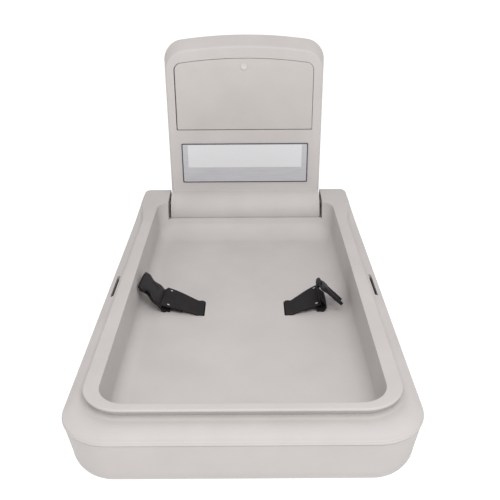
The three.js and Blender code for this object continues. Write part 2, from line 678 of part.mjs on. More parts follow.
// Liner door: arched panel with a rib round its back, pin lugs and a heel along the foot
function linerDoor() {
  const panel = profileY(
    shapeOf(archOutline(DOOR_HALF_WIDTH, DOOR_LOW, DOOR_TOP, DOOR_CORNER)), DOOR_FACE_Y, DOOR_BACK_Y);
  const ribHalf = POCKET_HALF_WIDTH - POCKET_WALL;
  const ribLow = DOOR_PIN_Z + DOOR_LUG;
  const ribTop = catchZ() - CATCH_RADIUS - DOOR_SKIN;
  const ribOutline = shapeOf(archOutline(ribHalf, ribLow, ribTop, DOOR_CORNER));
  const ribHole = shapeOf(archOutline(
    ribHalf - DOOR_SKIN, ribLow + DOOR_SKIN, ribTop - DOOR_SKIN, DOOR_CORNER - DOOR_SKIN));
  const ribEnd = -AXIS_TO_WALL + POCKET_SETBACK - SEAT_GAP;
  const ribRoom = profileY(ribHole, DOOR_BACK_Y - PAST * 2, ribEnd + PAST);
  const rib = cut(profileY(ribOutline, DOOR_BACK_Y - PAST, ribEnd), ribRoom);
  const heelEnd = DOOR_PIN_Y + DOOR_HEEL;
  const heelHalf = DOOR_HALF_WIDTH - DOOR_LUG - DOOR_GAP;
  const heelTop = DOOR_LOW + DOOR_HEEL_THICKNESS;
  const heel = block(-heelHalf, heelHalf, DOOR_BACK_Y - PAST, heelEnd, DOOR_LOW, heelTop);
  let door = join(panel, rib, heel);
  for (const [, sign] of SIDES) {
    const outer = DOOR_HALF_WIDTH - SEAT_GAP;
    const lug = doorEye(outer - DOOR_LUG, outer, DOOR_BACK_Y - PAST, SEAT_GAP);
    door = join(door, mirrored(lug, sign));
  }
  const stud = barY(CATCH_SHANK + SEAT_GAP, DOOR_FACE_Y - PAST, DOOR_BACK_Y + PAST, 0, catchZ());
  return cut(door, stud);
}

function doorPin() {
  const start = DOOR_HALF_WIDTH - SEAT_GAP - DOOR_LUG;
  const end = DOOR_HALF_WIDTH + DOOR_GAP + SEAT_GAP + DOOR_BOSS;
  return barX(DOOR_PIN_RADIUS, start, end, DOOR_PIN_Y, DOOR_PIN_Z);
}

// Snap stud in the door: a domed disc outside, a shank with a rounded tip inside
function doorCatch() {
  const face = DOOR_FACE_Y - SEAT_GAP;
  const tip = DOOR_BACK_Y + CATCH_REACH;
  const profile = [
    [0, face - CATCH_PROUD], [CATCH_FLAT, face - CATCH_PROUD], [CATCH_RADIUS, face - CATCH_PROUD / 2],
    [CATCH_RADIUS, face], [CATCH_SHANK, face], [CATCH_SHANK, tip - CATCH_SHANK], [CATCH_SHANK / 2, tip],
    [0, tip]];
  const stud = new THREE.LatheGeometry(profile.map(([r, y]) => new THREE.Vector2(r, y)), ROUND_SIDES);
  return toSolid(stud.translate(0, 0, catchZ()));
}

// Spring clip that holds the snap stud, hung from the pocket's roof
function catchClip() {
  const roof = POCKET_TOP - POCKET_WALL - SEAT_GAP;
  const half = CATCH_SHANK * 2;
  const front = DOOR_BACK_Y + CATCH_REACH / 2;
  const rear = -PLATE_THICKNESS - POCKET_WALL - SEAT_GAP * 2;
  const body = block(-half, half, front, rear, catchZ() - half, roof);
  const deep = DOOR_BACK_Y + CATCH_REACH + PAST;
  const mouth = barY(CATCH_SHANK + RUN_GAP, front - PAST, deep, 0, catchZ());
  const slit = CATCH_SHANK / 2;
  return cut(body, mouth, block(-slit, slit, front - PAST, deep, catchZ() - half - PAST, catchZ()));
}

place(wallUnit, 'wall_plate', wallPlate(), zincSteel);
place(wallUnit, 'housing', housing(), plastic);
const labelBack = -AXIS_TO_WALL + LABEL_SUNK - SEAT_GAP;
place(wallUnit, 'label_plate', labelSolid(0, labelBack - LABEL_THICKNESS, labelBack), silverPlate);
place(wallUnit, 'liner_pocket', linerPocket(), pocketPlastic);
place(wallUnit, 'catch_clip', catchClip(), whiteNylon);
place(wallUnit, 'liner_door', linerDoor(), doorPlastic);
place(wallUnit, 'door_catch', doorCatch(), whiteNylon);
for (const [side, sign] of SIDES) {
  place(wallUnit, `bracket_${side}`, mirrored(bracket(), sign), zincSteel);
  place(wallUnit, `shaft_bush_${side}`, mirrored(bush(), sign), whiteNylon);
  place(wallUnit, `damper_${side}`, mirrored(damper(), sign), darkSteel);
  place(wallUnit, `stop_pin_${side}`, mirrored(stopPin(), sign), zincSteel);
  place(wallUnit, `door_pin_${side}`, mirrored(doorPin(), sign), zincSteel);
  place(wallUnit, `pocket_screw_${side}`, pocketScrew(sign), zincSteel);
  HOUSING_BOSS_Z.forEach((z, i) => {
    place(wallUnit, `housing_screw_${side}_${i + 1}`, housingScrew(0, sign, z), zincSteel);
  });
}

// Lines of the bed mouldings. Each line is a rounded rectangle in plan, seen from above.
const flangeLine = {
  side: BED_HALF_WIDTH, front: BED_FRONT, rear: BED_REAR, frontCorner: BED_CORNER, rearCorner: EAR_CORNER };
const rimLine = {
  side: BED_HALF_WIDTH - SHOULDER_SIDE, front: BED_FRONT - SHOULDER_FRONT, rear: BED_REAR,
  frontCorner: RIM_CORNER, rearCorner: EAR_CORNER };
const trayLine = {
  side: rimLine.side - RIM_SIDE, front: rimLine.front - RIM_FRONT, rear: -TRAY_REAR,
  frontCorner: TRAY_CORNER, rearCorner: TRAY_REAR_CORNER };

function grow(line, by) {
  return {
    side: line.side + by, front: line.front + by, rear: line.rear + by,
    frontCorner: Math.max(line.frontCorner + by, LEAST_CORNER),
    rearCorner: Math.max(line.rearCorner + by, LEAST_CORNER) };
}

// Half of a line in plan, from the rear round to the front, then mirrored
function planPoints({ side, front, rear, frontCorner, rearCorner }) {
  const quarter = Math.PI / 2;
  const half = [];
  const arc = (x, y, radius, angle) => {
    half.push([x + radius * Math.cos(angle), y + radius * Math.sin(angle)]);
  };
  for (let i = 0; i <= EAR_STEPS; i++) {
    arc(side - rearCorner, rear - rearCorner, rearCorner, quarter * (1 - i / EAR_STEPS));
  }
  for (let i = 0; i <= BLEND_STEPS; i++) {
    half.push([side, -lerp(SHOULDER_STARTS, SHOULDER_FULL, i / BLEND_STEPS)]);
  }
  for (let i = 0; i <= CORNER_STEPS; i++) {
    arc(side - frontCorner, -front + frontCorner, frontCorner, -quarter * i / CORNER_STEPS);
  }
  return [...half, ...half.slice().reverse().map(([x, y]) => [-x, y])];
}

// A ring that follows one line along the bed and another round the hinge ears
function bedRing(line, z, earLine = line, earZ = z) {
  const ear = planPoints(earLine);
  return planPoints(line).map(([x, y], i) => {
    const share = THREE.MathUtils.smoothstep(y, -SHOULDER_FULL, -SHOULDER_STARTS);
    return [lerp(x, ear[i][0], share), lerp(y, ear[i][1], share), lerp(z, earZ, share)];
  });
}

// Rings down the tray's inner wall, round the floor fillet and on to the floor, at an offset outwards
function trayWallRings(offset) {
  const foot = grow(trayLine, -TRAY_DRAFT);
  const rings = [];
  for (let i = 0; i <= FILLET_STEPS; i++) {
    const angle = Math.PI / 2 * i / FILLET_STEPS;
    const inset = FLOOR_FILLET - (FLOOR_FILLET + offset) * Math.cos(angle);
    const z = FLOOR_Z + FLOOR_FILLET - (FLOOR_FILLET + offset) * Math.sin(angle);
    rings.push(bedRing(grow(foot, -inset), z));
  }
  return rings;
}

function trayMoulding() {
  const wall = BED_WALL;
  const flangeTop = SEAM_Z + BEAD_HEIGHT;
  const stepFoot = RIM_RISE - RIM_STEP;
  const coveIn = STEP_COVE / 4;
  const ear = Array.from({ length: EAR_RINGS }, (_, i) => earEdge(i / (EAR_RINGS - 1)));
  const show = [
    bedRing(flangeLine, SEAM_Z),
    bedRing(grow(flangeLine, BEAD), SEAM_Z + BEAD_HEIGHT / 2),
    bedRing(flangeLine, flangeTop),
    bedRing(grow(flangeLine, -FLANGE_EDGE), flangeTop + FLANGE_EDGE, ...ear[0]),
    bedRing(grow(rimLine, RIM_EDGE + STEP_COVE), stepFoot - STEP_COVE / 2, ...ear[1]),
    bedRing(grow(rimLine, RIM_EDGE + coveIn), stepFoot + coveIn, ...ear[2]),
    bedRing(grow(rimLine, RIM_EDGE), stepFoot + STEP_COVE, ...ear[3]),
    bedRing(rimLine, RIM_RISE - RIM_EDGE, ...ear[4]),
    bedRing(grow(rimLine, -RIM_EDGE), RIM_RISE, ...ear[5]),
    bedRing(grow(trayLine, RIM_EDGE), RIM_RISE),
    bedRing(trayLine, RIM_RISE - RIM_EDGE),
    ...trayWallRings(0)];
  const hidden = [
    ...trayWallRings(wall).reverse(),
    bedRing(grow(trayLine, wall), RIM_RISE - wall),
    bedRing(grow(rimLine, -wall), RIM_RISE - wall, grow(ear[5][0], -wall), RIM_RISE - wall),
    bedRing(grow(rimLine, RIM_EDGE - wall), stepFoot - wall, grow(ear[4][0], -wall), ear[0][1]),
    bedRing(grow(flangeLine, -wall), flangeTop - wall / 2),
    bedRing(grow(flangeLine, -wall), SEAM_Z)];
  return loft([...show.reverse(), ...hidden.reverse()]);
}

// Line and level on an ear's rounded edge, from its side at turn 0 to its top at turn 1
function earEdge(turn) {
  const angle = turn * Math.PI / 2;
  return [grow(flangeLine, -EAR_ROUND * (1 - Math.cos(angle))), RIM_RISE - EAR_ROUND * (1 - Math.sin(angle))];
}

// Room for the barrel: everything above the lip, and the trough that runs under the barrel
function barrelRoom(radius, half, lip) {
  const over = block(-half, half, -TRAY_REAR - FLOOR_FILLET, BED_REAR * 2, lip, RIM_RISE * 2);
  return join(over, barX(radius, -half, half, 0, 0));
}

// Cheek plate that closes an ear beside the barrel
function earCheek() {
  const wall = BED_WALL;
  const x0 = NOTCH_HALF;
  const x1 = NOTCH_HALF + wall;
  const front = -TRAY_REAR + wall / 2;
  const rear = BED_REAR - wall - SHELL_TAPER / 2;
  const top = RIM_RISE - wall / 2;
  const disc = barX(TROUGH_RADIUS + wall, x0, x1, 0, 0);
  const keep = block(x0, x1, front, rear, -TROUGH_RADIUS * 2, top);
  const upper = block(x0, x1, front, BED_REAR - wall / 2, SEAM_Z + PAST, top);
  const middle = block(x0, x1, front, rear, -LIP_DROP, SEAM_Z + PAST * 2);
  return join(disc.intersect(keep), upper, middle);
}

function bedTray() {
  const wall = BED_WALL;
  const half = NOTCH_HALF + wall / 2;
  const front = -TRAY_REAR + wall / 2;
  const ring = cut(
    barX(TROUGH_RADIUS + wall, -half, half, 0, 0), barX(TROUGH_RADIUS, -half - PAST, half + PAST, 0, 0));
  const trough = ring.intersect(block(-half, half, -TRAY_REAR, BED_REAR, -TROUGH_RADIUS * 2, -LIP_DROP));
  const land = block(-half, half, front, -TROUGH_RADIUS + wall * 2, -LIP_DROP - wall, -LIP_DROP);
  const notch = barrelRoom(TROUGH_RADIUS, NOTCH_HALF, -LIP_DROP);
  let tray = join(cut(trayMoulding(), notch), trough, cut(land, notch));
  for (const [, sign] of SIDES) {
    tray = join(tray, mirrored(earCheek(), sign));
    tray = cut(tray, bagSlot(sign), strapSlot(sign, FLOOR_Z + PAST, UNDER_FLOOR - PAST));
    for (const y of SHELL_BOSS_Y) {
      const x = sign * SHELL_BOSS_X;
      const bossEnd = BED_BOTTOM + BED_WALL + SEAT_GAP;
      const boss = barZ(SHELL_BOSS_RADIUS, bossEnd, UNDER_FLOOR + PAST, x, -y);
      const pilot = barZ(SCREW_RADIUS + SEAT_GAP, bossEnd - PAST, bossEnd + SCREW_LENGTH, x, -y);
      tray = cut(join(tray, boss), pilot);
    }
  }
  const shaftHole = SHAFT_RADIUS + SHAFT_HOLE_GAP;
  return cut(tray, barX(shaftHole, -NOTCH_HALF - wall * 2, NOTCH_HALF + wall * 2, 0, 0));
}

// Slot through the side flange, where a bag's strap is hung
function bagSlot(sign) {
  const x = sign * BAG_SLOT_X;
  const half = BAG_SLOT_WIDTH / 2;
  const rear = -BAG_SLOT_FRONT + BAG_SLOT_LENGTH;
  return block(x - half, x + half, -BAG_SLOT_FRONT, rear, SEAM_Z, RIM_RISE);
}

function strapSlot(sign, top, bottom) {
  const x = sign * STRAP_SLOT_X;
  const length = (STRAP_WIDTH + STRAP_SLOT_SPARE) / 2;
  const half = STRAP_SLOT_WIDTH / 2;
  return block(x - half, x + half, -STRAP_SLOT_Y - length, -STRAP_SLOT_Y + length, bottom, top);
}

// Lower shell: a tapered skirt with a large round into the flat bottom
function shellRings(offset) {
  const foot = grow(flangeLine, -SHELL_TAPER - offset);
  const radius = SHELL_ROUND - offset;
  const rings = [bedRing(grow(flangeLine, -offset), SEAM_Z - SEAT_GAP)];
  for (let i = 0; i <= FILLET_STEPS; i++) {
    const angle = Math.PI / 2 * i / FILLET_STEPS;
    const z = BED_BOTTOM + SHELL_ROUND - radius * Math.sin(angle);
    rings.push(bedRing(grow(foot, -radius * (1 - Math.cos(angle))), z));
  }
  return rings;
}

function bedShell() {
  const skirt = loft([...shellRings(0).reverse(), ...shellRings(BED_WALL)]);
  const spare = BED_WALL + SEAT_GAP;
  let shell = cut(skirt, barrelRoom(TROUGH_RADIUS + spare, NOTCH_HALF + spare, -LIP_DROP - spare));
  for (const [, sign] of SIDES) {
    for (const y of SHELL_BOSS_Y) {
      shell = cut(shell, shellScrew(SEAT_GAP, sign, y));
    }
  }
  return shell;
}

// Countersunk screw from under the shell into a boss of the tray
function shellScrew(spare, sign, y) {
  const upright = screwGeometry(spare).rotateX(-Math.PI / 2);
  return toSolid(upright.translate(sign * SHELL_BOSS_X, -y, BED_BOTTOM));
}

// Steel frame
const armInner = () => trayLine.side + BED_WALL + ARM_TO_TRAY;
const railInner = () => armInner() + ARM_THICKNESS + SEAT_GAP;
const railBottom = () => UNDER_FLOOR;
const boltZ = () => railBottom() + RAIL_HEIGHT / 2;

// Hinge arm: a hub on the shaft and a blade along the rail
function hingeArm() {
  const low = railBottom() + RAIL_WALL;
  const high = railBottom() + RAIL_HEIGHT - RAIL_WALL;
  const shape = new THREE.Shape();
  shape.absarc(0, 0, ARM_HUB, -ARM_HUB_TURN * DEGREE, Math.PI / 2);
  shape.lineTo(-ARM_NECK, ARM_NECK_RISE);
  shape.lineTo(-RAIL_REAR - RAIL_HEIGHT, high);
  shape.lineTo(-ARM_REACH, high);
  shape.lineTo(-ARM_REACH, low);
  shape.lineTo(-RAIL_REAR, low);
  const x0 = armInner();
  const x1 = x0 + ARM_THICKNESS;
  const shaftHole = barX(SHAFT_RADIUS + SEAT_GAP, x0 - PAST, x1 + PAST, 0, 0);
  return cut(profileX(shape, x0, x1), shaftHole, ...boltHoles(x0, x1));
}

const boltHoles = (x0, x1) => BOLT_Y.map(
  (y) => barX(BOLT_RADIUS + SEAT_GAP, x0 - PAST, x1 + PAST, -y, boltZ()));

function frameRail() {
  const x0 = railInner();
  const x1 = x0 + RAIL_WIDTH;
  const z0 = railBottom();
  const z1 = z0 + RAIL_HEIGHT;
  const wall = RAIL_WALL;
  const tube = block(x0, x1, -RAIL_FRONT, -RAIL_REAR, z0, z1);
  const room = block(x0 + wall, x1 - wall, -RAIL_FRONT - PAST, -RAIL_REAR + PAST, z0 + wall, z1 - wall);
  return cut(tube, room, ...boltHoles(x0, x1));
}

function crossBar(y) {
  const end = railInner() + RAIL_WIDTH / 2;
  const top = UNDER_FLOOR - SEAT_GAP;
  const low = top - CROSS_BAR_HEIGHT;
  const half = CROSS_BAR_WIDTH / 2;
  const wall = RAIL_WALL;
  const tube = block(-end, end, -y - half, -y + half, low, top);
  const room = block(-end - PAST, end + PAST, -y - half + wall, -y + half - wall, low + wall, top - wall);
  return cut(tube, room);
}

function armBolt(y) {
  const head = armInner() - SEAT_GAP;
  const nut = railInner() + RAIL_WIDTH + SEAT_GAP;
  return join(
    barX(BOLT_HEAD, head - BOLT_HEAD_HEIGHT, head, -y, boltZ(), HEX_SIDES),
    barX(BOLT_RADIUS, head - PAST, nut + BOLT_HEAD_HEIGHT, -y, boltZ()),
    barX(BOLT_HEAD, nut, nut + BOLT_HEAD_HEIGHT, -y, boltZ(), HEX_SIDES));
}

const shaftEnd = () => armInner() + ARM_THICKNESS + SEAT_GAP + SHAFT_NUT_LENGTH;

function shaftNut() {
  const x0 = armInner() + ARM_THICKNESS + SEAT_GAP;
  const x1 = x0 + SHAFT_NUT_LENGTH;
  const hole = barX(SHAFT_RADIUS + SEAT_GAP, x0 - PAST, x1 + PAST, 0, 0);
  return cut(barX(SHAFT_NUT_RADIUS, x0, x1, 0, 0, HEX_SIDES), hole);
}

// Straps. A band is a run of stations: a middle point, a unit vector across and a thickness.
function band(stations) {
  const rings = stations.map(({ at, across, thick }, i) => {
    const before = stations[Math.max(i - 1, 0)].at;
    const after = stations[Math.min(i + 1, stations.length - 1)].at;
    const along = after.clone().sub(before);
    const normal = new THREE.Vector3().crossVectors(across, along).normalize();
    const corner = (w, t) => at.clone()
      .addScaledVector(across, w * STRAP_WIDTH / 2).addScaledVector(normal, t * thick / 2).toArray();
    return [corner(-1, -1), corner(1, -1), corner(1, 1), corner(-1, 1)];
  });
  return loft(rings);
}

// Webbing from its tail under the floor, up through the slot and over the floor to its end edge
function strap(sign, endFar, endNear, loop) {
  const under = UNDER_FLOOR - SEAT_GAP * 2 - ANCHOR_THICKNESS - STRAP_THICKNESS / 2;
  const onFloor = FLOOR_Z + STRAP_THICKNESS / 2 + SEAT_GAP;
  const level = new THREE.Vector3(0, 1, 0);
  const tilted = endFar.clone().sub(endNear).normalize();
  const end = endFar.clone().lerp(endNear, 1 / 2);
  const point = (out, z) => new THREE.Vector3(sign * (STRAP_SLOT_X + out), -STRAP_SLOT_Y, z);
  const thick = STRAP_THICKNESS;
  const stations = [
    point(-STRAP_TAIL, under), point(-thick, under), point(0, under + thick), point(0, onFloor - thick),
    point(thick, onFloor), point(STRAP_SLOT_WIDTH * 2, onFloor)].map((at) => ({ at, across: level, thick }));
  const rise = stations[stations.length - 1].at;
  for (let i = 1; i <= STRAP_STEPS; i++) {
    const share = i / STRAP_STEPS;
    const at = rise.clone().lerp(end, share);
    at.z += STRAP_CROWN * Math.sin(Math.PI * share);
    const across = level.clone().lerp(tilted, THREE.MathUtils.smoothstep(share, 0, 1)).normalize();
    stations.push({ at, across, thick: i > STRAP_DOUBLED_FROM ? thick * 2 : thick });
  }
  stations.push({ at: loop.at, across: loop.across, thick });
  return join(band(stations), strapRoll(loop));
}

// The loop that the webbing makes round the buckle's bar
function strapRoll({ at, across }) {
  const roll = new THREE.CylinderGeometry(STRAP_ROLL, STRAP_ROLL, STRAP_WIDTH, SMALL_SIDES);
  roll.applyQuaternion(new THREE.Quaternion().setFromUnitVectors(new THREE.Vector3(0, 1, 0), across));
  return toSolid(roll.translate(at.x, at.y, at.z));
}

// Middle and direction of the webbing's loop, close behind a buckle half
function loopBehind(frame) {
  const across = new THREE.Vector3().setFromMatrixColumn(frame, 0);
  const along = new THREE.Vector3().setFromMatrixColumn(frame, 1);
  const base = new THREE.Vector3().setFromMatrixPosition(frame);
  return { at: base.addScaledVector(along, -STRAP_ROLL - SEAT_GAP), across };
}

// Under the floor: a steel plate with a slot, which the webbing's tail is turned back on
function strapAnchor(sign) {
  const top = UNDER_FLOOR - SEAT_GAP;
  const bottom = top - ANCHOR_THICKNESS;
  const x = sign * STRAP_SLOT_X;
  const half = ANCHOR_WIDTH / 2;
  const length = ANCHOR_LENGTH / 2;
  const plate = block(x - half, x + half, -STRAP_SLOT_Y - length, -STRAP_SLOT_Y + length, bottom, top);
  return cut(plate, strapSlot(sign, top + PAST, bottom - PAST));
}

// A buckle half lies along its own axis: a runs from the strap to the tip, w across and n through it
function buckleFrame(base, tip, acrossHint) {
  const along = tip.clone().sub(base).normalize();
  const through = new THREE.Vector3().crossVectors(acrossHint, along).normalize();
  const across = new THREE.Vector3().crossVectors(along, through);
  return new THREE.Matrix4().makeBasis(across, along, through).setPosition(base);
}

function buckleBlock(frame, w0, w1, a0, a1, thick) {
  const box = new THREE.BoxGeometry(w1 - w0, a1 - a0, thick).translate((w0 + w1) / 2, (a0 + a1) / 2, 0);
  return toSolid(box.applyMatrix4(frame));
}

function buckleOutline(frame, shape, thick) {
  return toSolid(extrude(shape, thick).translate(0, 0, -thick / 2).applyMatrix4(frame));
}

// Socket half: a flat waisted sleeve, open at its mouth and at the two release windows
function buckleSocket(frame) {
  const half = BUCKLE_HALF_WIDTH;
  const length = SOCKET_LENGTH;
  const side = [
    [BUCKLE_END_HALF, 0], [half, SOCKET_BULGE_AT], [SOCKET_WAIST_HALF, SOCKET_WAIST_AT],
    [half, length - SOCKET_BULGE_AT], [BUCKLE_END_HALF, length]].map(([w, a]) => new THREE.Vector2(w, a));
  const other = side.map(({ x, y }) => new THREE.Vector2(-x, y)).reverse();
  const shape = new THREE.Shape();
  shape.moveTo(BUCKLE_END_HALF, 0);
  shape.splineThru(side.slice(1));
  shape.lineTo(-BUCKLE_END_HALF, length);
  shape.splineThru(other.slice(1));
  const body = buckleOutline(frame, shape, BUCKLE_THICKNESS);
  const inner = BUCKLE_THICKNESS - SOCKET_WALL * 2;
  const throat = SOCKET_WAIST_HALF - SOCKET_WALL;
  const mouth = buckleBlock(frame, -throat, throat, length - SOCKET_DEPTH, length + PAST, inner);
  const windows = buckleBlock(frame, -half * 2, half * 2, WINDOW_FROM, WINDOW_TO, inner);
  return cut(body, mouth, windows, barSlot(frame));
}

// Slot behind the bar that the webbing goes round
function barSlot(frame) {
  return buckleBlock(
    frame, -BAR_SLOT_HALF, BAR_SLOT_HALF, BAR_SLOT_AT, BAR_SLOT_AT + BAR_SLOT, BUCKLE_THICKNESS * 2);
}

// Plug half: a base with the webbing bar, two sprung prongs with hooked tips and a guide between them
function bucklePlug(frame) {
  const base = buckleOutline(frame, plugBaseShape(), PLUG_THICKNESS);
  const root = PLUG_BASE - PAST;
  const tip = PLUG_BASE + PRONG_LENGTH;
  const hook = PLUG_BASE + HOOK_AT;
  const half = GUIDE_WIDTH / 2;
  const guide = buckleBlock(frame, -half, half, root, PLUG_BASE + GUIDE_LENGTH, PRONG_THICKNESS);
  const prongs = [-1, 1].map((side) => {
    const inner = PRONG_OUT - PRONG_WIDTH;
    const outline = [
      [PRONG_OUT, root], [PRONG_OUT, hook], [PRONG_OUT + HOOK, hook], [PRONG_OUT + HOOK, hook + HOOK_LENGTH],
      [inner + PRONG_TIP, tip], [inner, tip], [inner, root]];
    return buckleOutline(frame, shapeOf(outline.map(([w, a]) => [side * w, a])), PRONG_THICKNESS);
  });
  return join(cut(base, barSlot(frame)), guide, ...prongs);
}

function plugBaseShape() {
  const side = [[BUCKLE_END_HALF, 0], [BUCKLE_HALF_WIDTH, PLUG_WIDEST_AT], [BUCKLE_END_HALF, PLUG_BASE]];
  return shapeOf([...side, ...side.slice().reverse().map(([w, a]) => [-w, a])]);
}

// A point in the tray beside a strap
function byTray(sign, [inset, back, rise]) {
  return new THREE.Vector3(sign * (trayLine.side - inset), -STRAP_SLOT_Y + back, FLOOR_Z + rise);
}

const socketFrame = buckleFrame(byTray(-1, SOCKET_BASE_AT), byTray(-1, SOCKET_TIP_AT), SOCKET_ACROSS);
// The plug's prongs lean on the tray, so its place is worked back from their tips
const plugTip = byTray(1, PLUG_TIP_AT);
const plugFrame = buckleFrame(byTray(1, PLUG_BASE_AT), plugTip, PLUG_ACROSS);
const plugAlong = new THREE.Vector3().setFromMatrixColumn(plugFrame, 1);
plugFrame.setPosition(plugTip.addScaledVector(plugAlong, -PLUG_BASE - PRONG_LENGTH));
const leftStrap = strap(-1, byTray(-1, LEFT_END_FAR), byTray(-1, LEFT_END_NEAR), loopBehind(socketFrame));
const rightStrap = strap(1, byTray(1, RIGHT_END_FAR), byTray(1, RIGHT_END_NEAR), loopBehind(plugFrame));

place(bed, 'bed_tray', bedTray(), plastic);
place(bed, 'bed_shell', bedShell(), plastic);
place(bed, 'hinge_shaft', barX(SHAFT_RADIUS, -shaftEnd(), shaftEnd(), 0, 0), zincSteel);
CROSS_BAR_Y.forEach((y, i) => place(bed, `cross_bar_${i + 1}`, crossBar(y), darkSteel));
for (const [side, sign] of SIDES) {
  place(bed, `hinge_arm_${side}`, mirrored(hingeArm(), sign), darkSteel);
  place(bed, `frame_rail_${side}`, mirrored(frameRail(), sign), darkSteel);
  place(bed, `shaft_nut_${side}`, mirrored(shaftNut(), sign), zincSteel);
  place(bed, `stop_dog_${side}`, mirrored(stopDog(), sign), zincSteel);
  place(bed, `strap_anchor_${side}`, strapAnchor(sign), zincSteel);
  BOLT_Y.forEach((y, i) => place(bed, `arm_bolt_${side}_${i + 1}`, mirrored(armBolt(y), sign), zincSteel));
  SHELL_BOSS_Y.forEach((y, i) => {
    place(bed, `shell_screw_${side}_${i + 1}`, shellScrew(0, sign, y), zincSteel);
  });
}
place(bed, 'strap_left', leftStrap, webbing);
place(bed, 'strap_right', rightStrap, webbing);
place(bed, 'buckle_socket', buckleSocket(socketFrame), bucklePlastic);
place(bed, 'buckle_plug', bucklePlug(plugFrame), bucklePlastic);

export default station;
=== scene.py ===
import math
from collections import namedtuple

import bmesh
import bpy
from mathutils import Matrix, Vector


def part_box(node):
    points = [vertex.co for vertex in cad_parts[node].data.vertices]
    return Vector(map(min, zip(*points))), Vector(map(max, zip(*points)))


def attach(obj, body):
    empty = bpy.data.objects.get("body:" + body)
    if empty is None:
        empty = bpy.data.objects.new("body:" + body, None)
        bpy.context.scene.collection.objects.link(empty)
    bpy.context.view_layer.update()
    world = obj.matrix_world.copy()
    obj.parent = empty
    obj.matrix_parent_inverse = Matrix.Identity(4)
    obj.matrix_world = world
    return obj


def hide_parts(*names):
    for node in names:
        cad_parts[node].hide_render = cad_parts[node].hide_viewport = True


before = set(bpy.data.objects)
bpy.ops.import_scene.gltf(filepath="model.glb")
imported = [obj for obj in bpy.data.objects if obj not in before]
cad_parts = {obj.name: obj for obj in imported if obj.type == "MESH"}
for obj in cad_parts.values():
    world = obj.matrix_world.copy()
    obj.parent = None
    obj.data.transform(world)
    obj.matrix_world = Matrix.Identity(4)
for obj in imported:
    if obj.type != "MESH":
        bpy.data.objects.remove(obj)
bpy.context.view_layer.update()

# Back plate, brackets, shaft, stops and fasteners: pressed and turned steel, zinc plated, which gives a
# pale grey metal with a faint crystal mottle. The plate hangs on the wall and carries all the rest.
MM = 0.001
ZINC_PALE = "B9BDC0"
ZINC_DARK = "8F9498"
ZINC_SPANGLE = 4 * MM
ZINC_CELL = 0.8
ZINC_ROUGH = (0.32, 0.46)


def linear(code):
    """An sRGB hex colour as linear red, green, blue and full alpha."""
    parts = [int(code[i:i + 2], 16) / 255 for i in (0, 2, 4)]
    return [p / 12.92 if p <= 0.04045 else ((p + 0.055) / 1.055) ** 2.4 for p in parts] + [1.0]


def feed(node, inputs):
    """Sets inputs of a shader node, each to a value or to another node's output."""
    for name, value in inputs.items():
        if isinstance(value, bpy.types.NodeSocket):
            node.id_data.links.new(value, node.inputs[name])
        else:
            node.inputs[name].default_value = value


def add_node(tree, kind, settings, inputs):
    """Adds a shader node with its settings and its inputs."""
    node = tree.nodes.new("ShaderNode" + kind)
    for name, value in settings.items():
        setattr(node, name, value)
    feed(node, inputs)
    return node


def start_material(name):
    """A new material with its node tree, its principled shader and its object coordinates."""
    material = bpy.data.materials.new(name)
    material.use_nodes = True
    tree = material.node_tree
    place = add_node(tree, "TexCoord", {}, {}).outputs["Object"]
    return material, tree, tree.nodes["Principled BSDF"], place


def shade(tree, amount, stops):
    """A colour ramp driven by an amount, with stops of place and hex colour."""
    ramp = add_node(tree, "ValToRGB", {}, {"Fac": amount})
    marks = ramp.color_ramp.elements
    for mark, (at, code) in zip(marks, stops):
        mark.position = at
        mark.color = linear(code)
    return ramp.outputs["Color"]


def vary(tree, amount, ends, most=1.0):
    """A number that goes from one end to the other while an amount goes from 0 to its most."""
    span = {"Value": amount, "From Max": most, "To Min": ends[0], "To Max": ends[1]}
    return add_node(tree, "MapRange", {}, span).outputs["Result"]


# Zinc plate: crystals of slightly different grey, with a soft satin gloss
zinc, tree, shader, place = start_material("zinc_plated_steel")
crystals = add_node(tree, "TexVoronoi", {}, {"Vector": place, "Scale": 1 / ZINC_SPANGLE}).outputs
feed(shader, {"Base Color": shade(tree, crystals["Color"], [(0, ZINC_DARK), (1, ZINC_PALE)]),
              "Roughness": vary(tree, crystals["Distance"], ZINC_ROUGH, ZINC_CELL), "Metallic": 1.0})


def finish_nodes(material, *starts):
    """Gives the material to every CAD node whose name starts with one of the words."""
    for name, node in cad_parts.items():
        if name.startswith(starts):
            node.data.materials.clear()
            node.data.materials.append(material)


finish_nodes(zinc, "wall_plate", "bracket_", "stop_", "door_pin", "pocket_screw", "housing_screw",
             "hinge_shaft", "shaft_nut", "arm_bolt", "shell_screw", "strap_anchor")

# Bushes of the hinge and the clip of the door's snap stud: natural nylon, moulded, off-white and waxy.
# The bushes press into the brackets, and the clip hangs from the pocket's roof.
NYLON = "E9E7E1"
NYLON_SHADE = "DEDBD3"
NYLON_CLOUD = 6 * MM
NYLON_ROUGH = (0.34, 0.5)
NYLON_IOR = 1.53


def noise(tree, place, size, detail):
    """The amount of a soft noise with cells of a real size."""
    return add_node(tree, "TexNoise", {}, {"Vector": place, "Scale": 1 / size, "Detail": detail}).outputs["Fac"]


def waxy_nylon(name, colour, dark):
    """Nylon with a faint cloud in its colour and gloss."""
    material, tree, shader, place = start_material(name)
    cloud = noise(tree, place, NYLON_CLOUD, 3.0)
    feed(shader, {"Base Color": shade(tree, cloud, [(0.35, dark), (0.65, colour)]),
                  "Roughness": vary(tree, cloud, NYLON_ROUGH), "IOR": NYLON_IOR})
    return material


finish_nodes(waxy_nylon("natural_nylon", NYLON, NYLON_SHADE), "shaft_bush", "catch_clip")

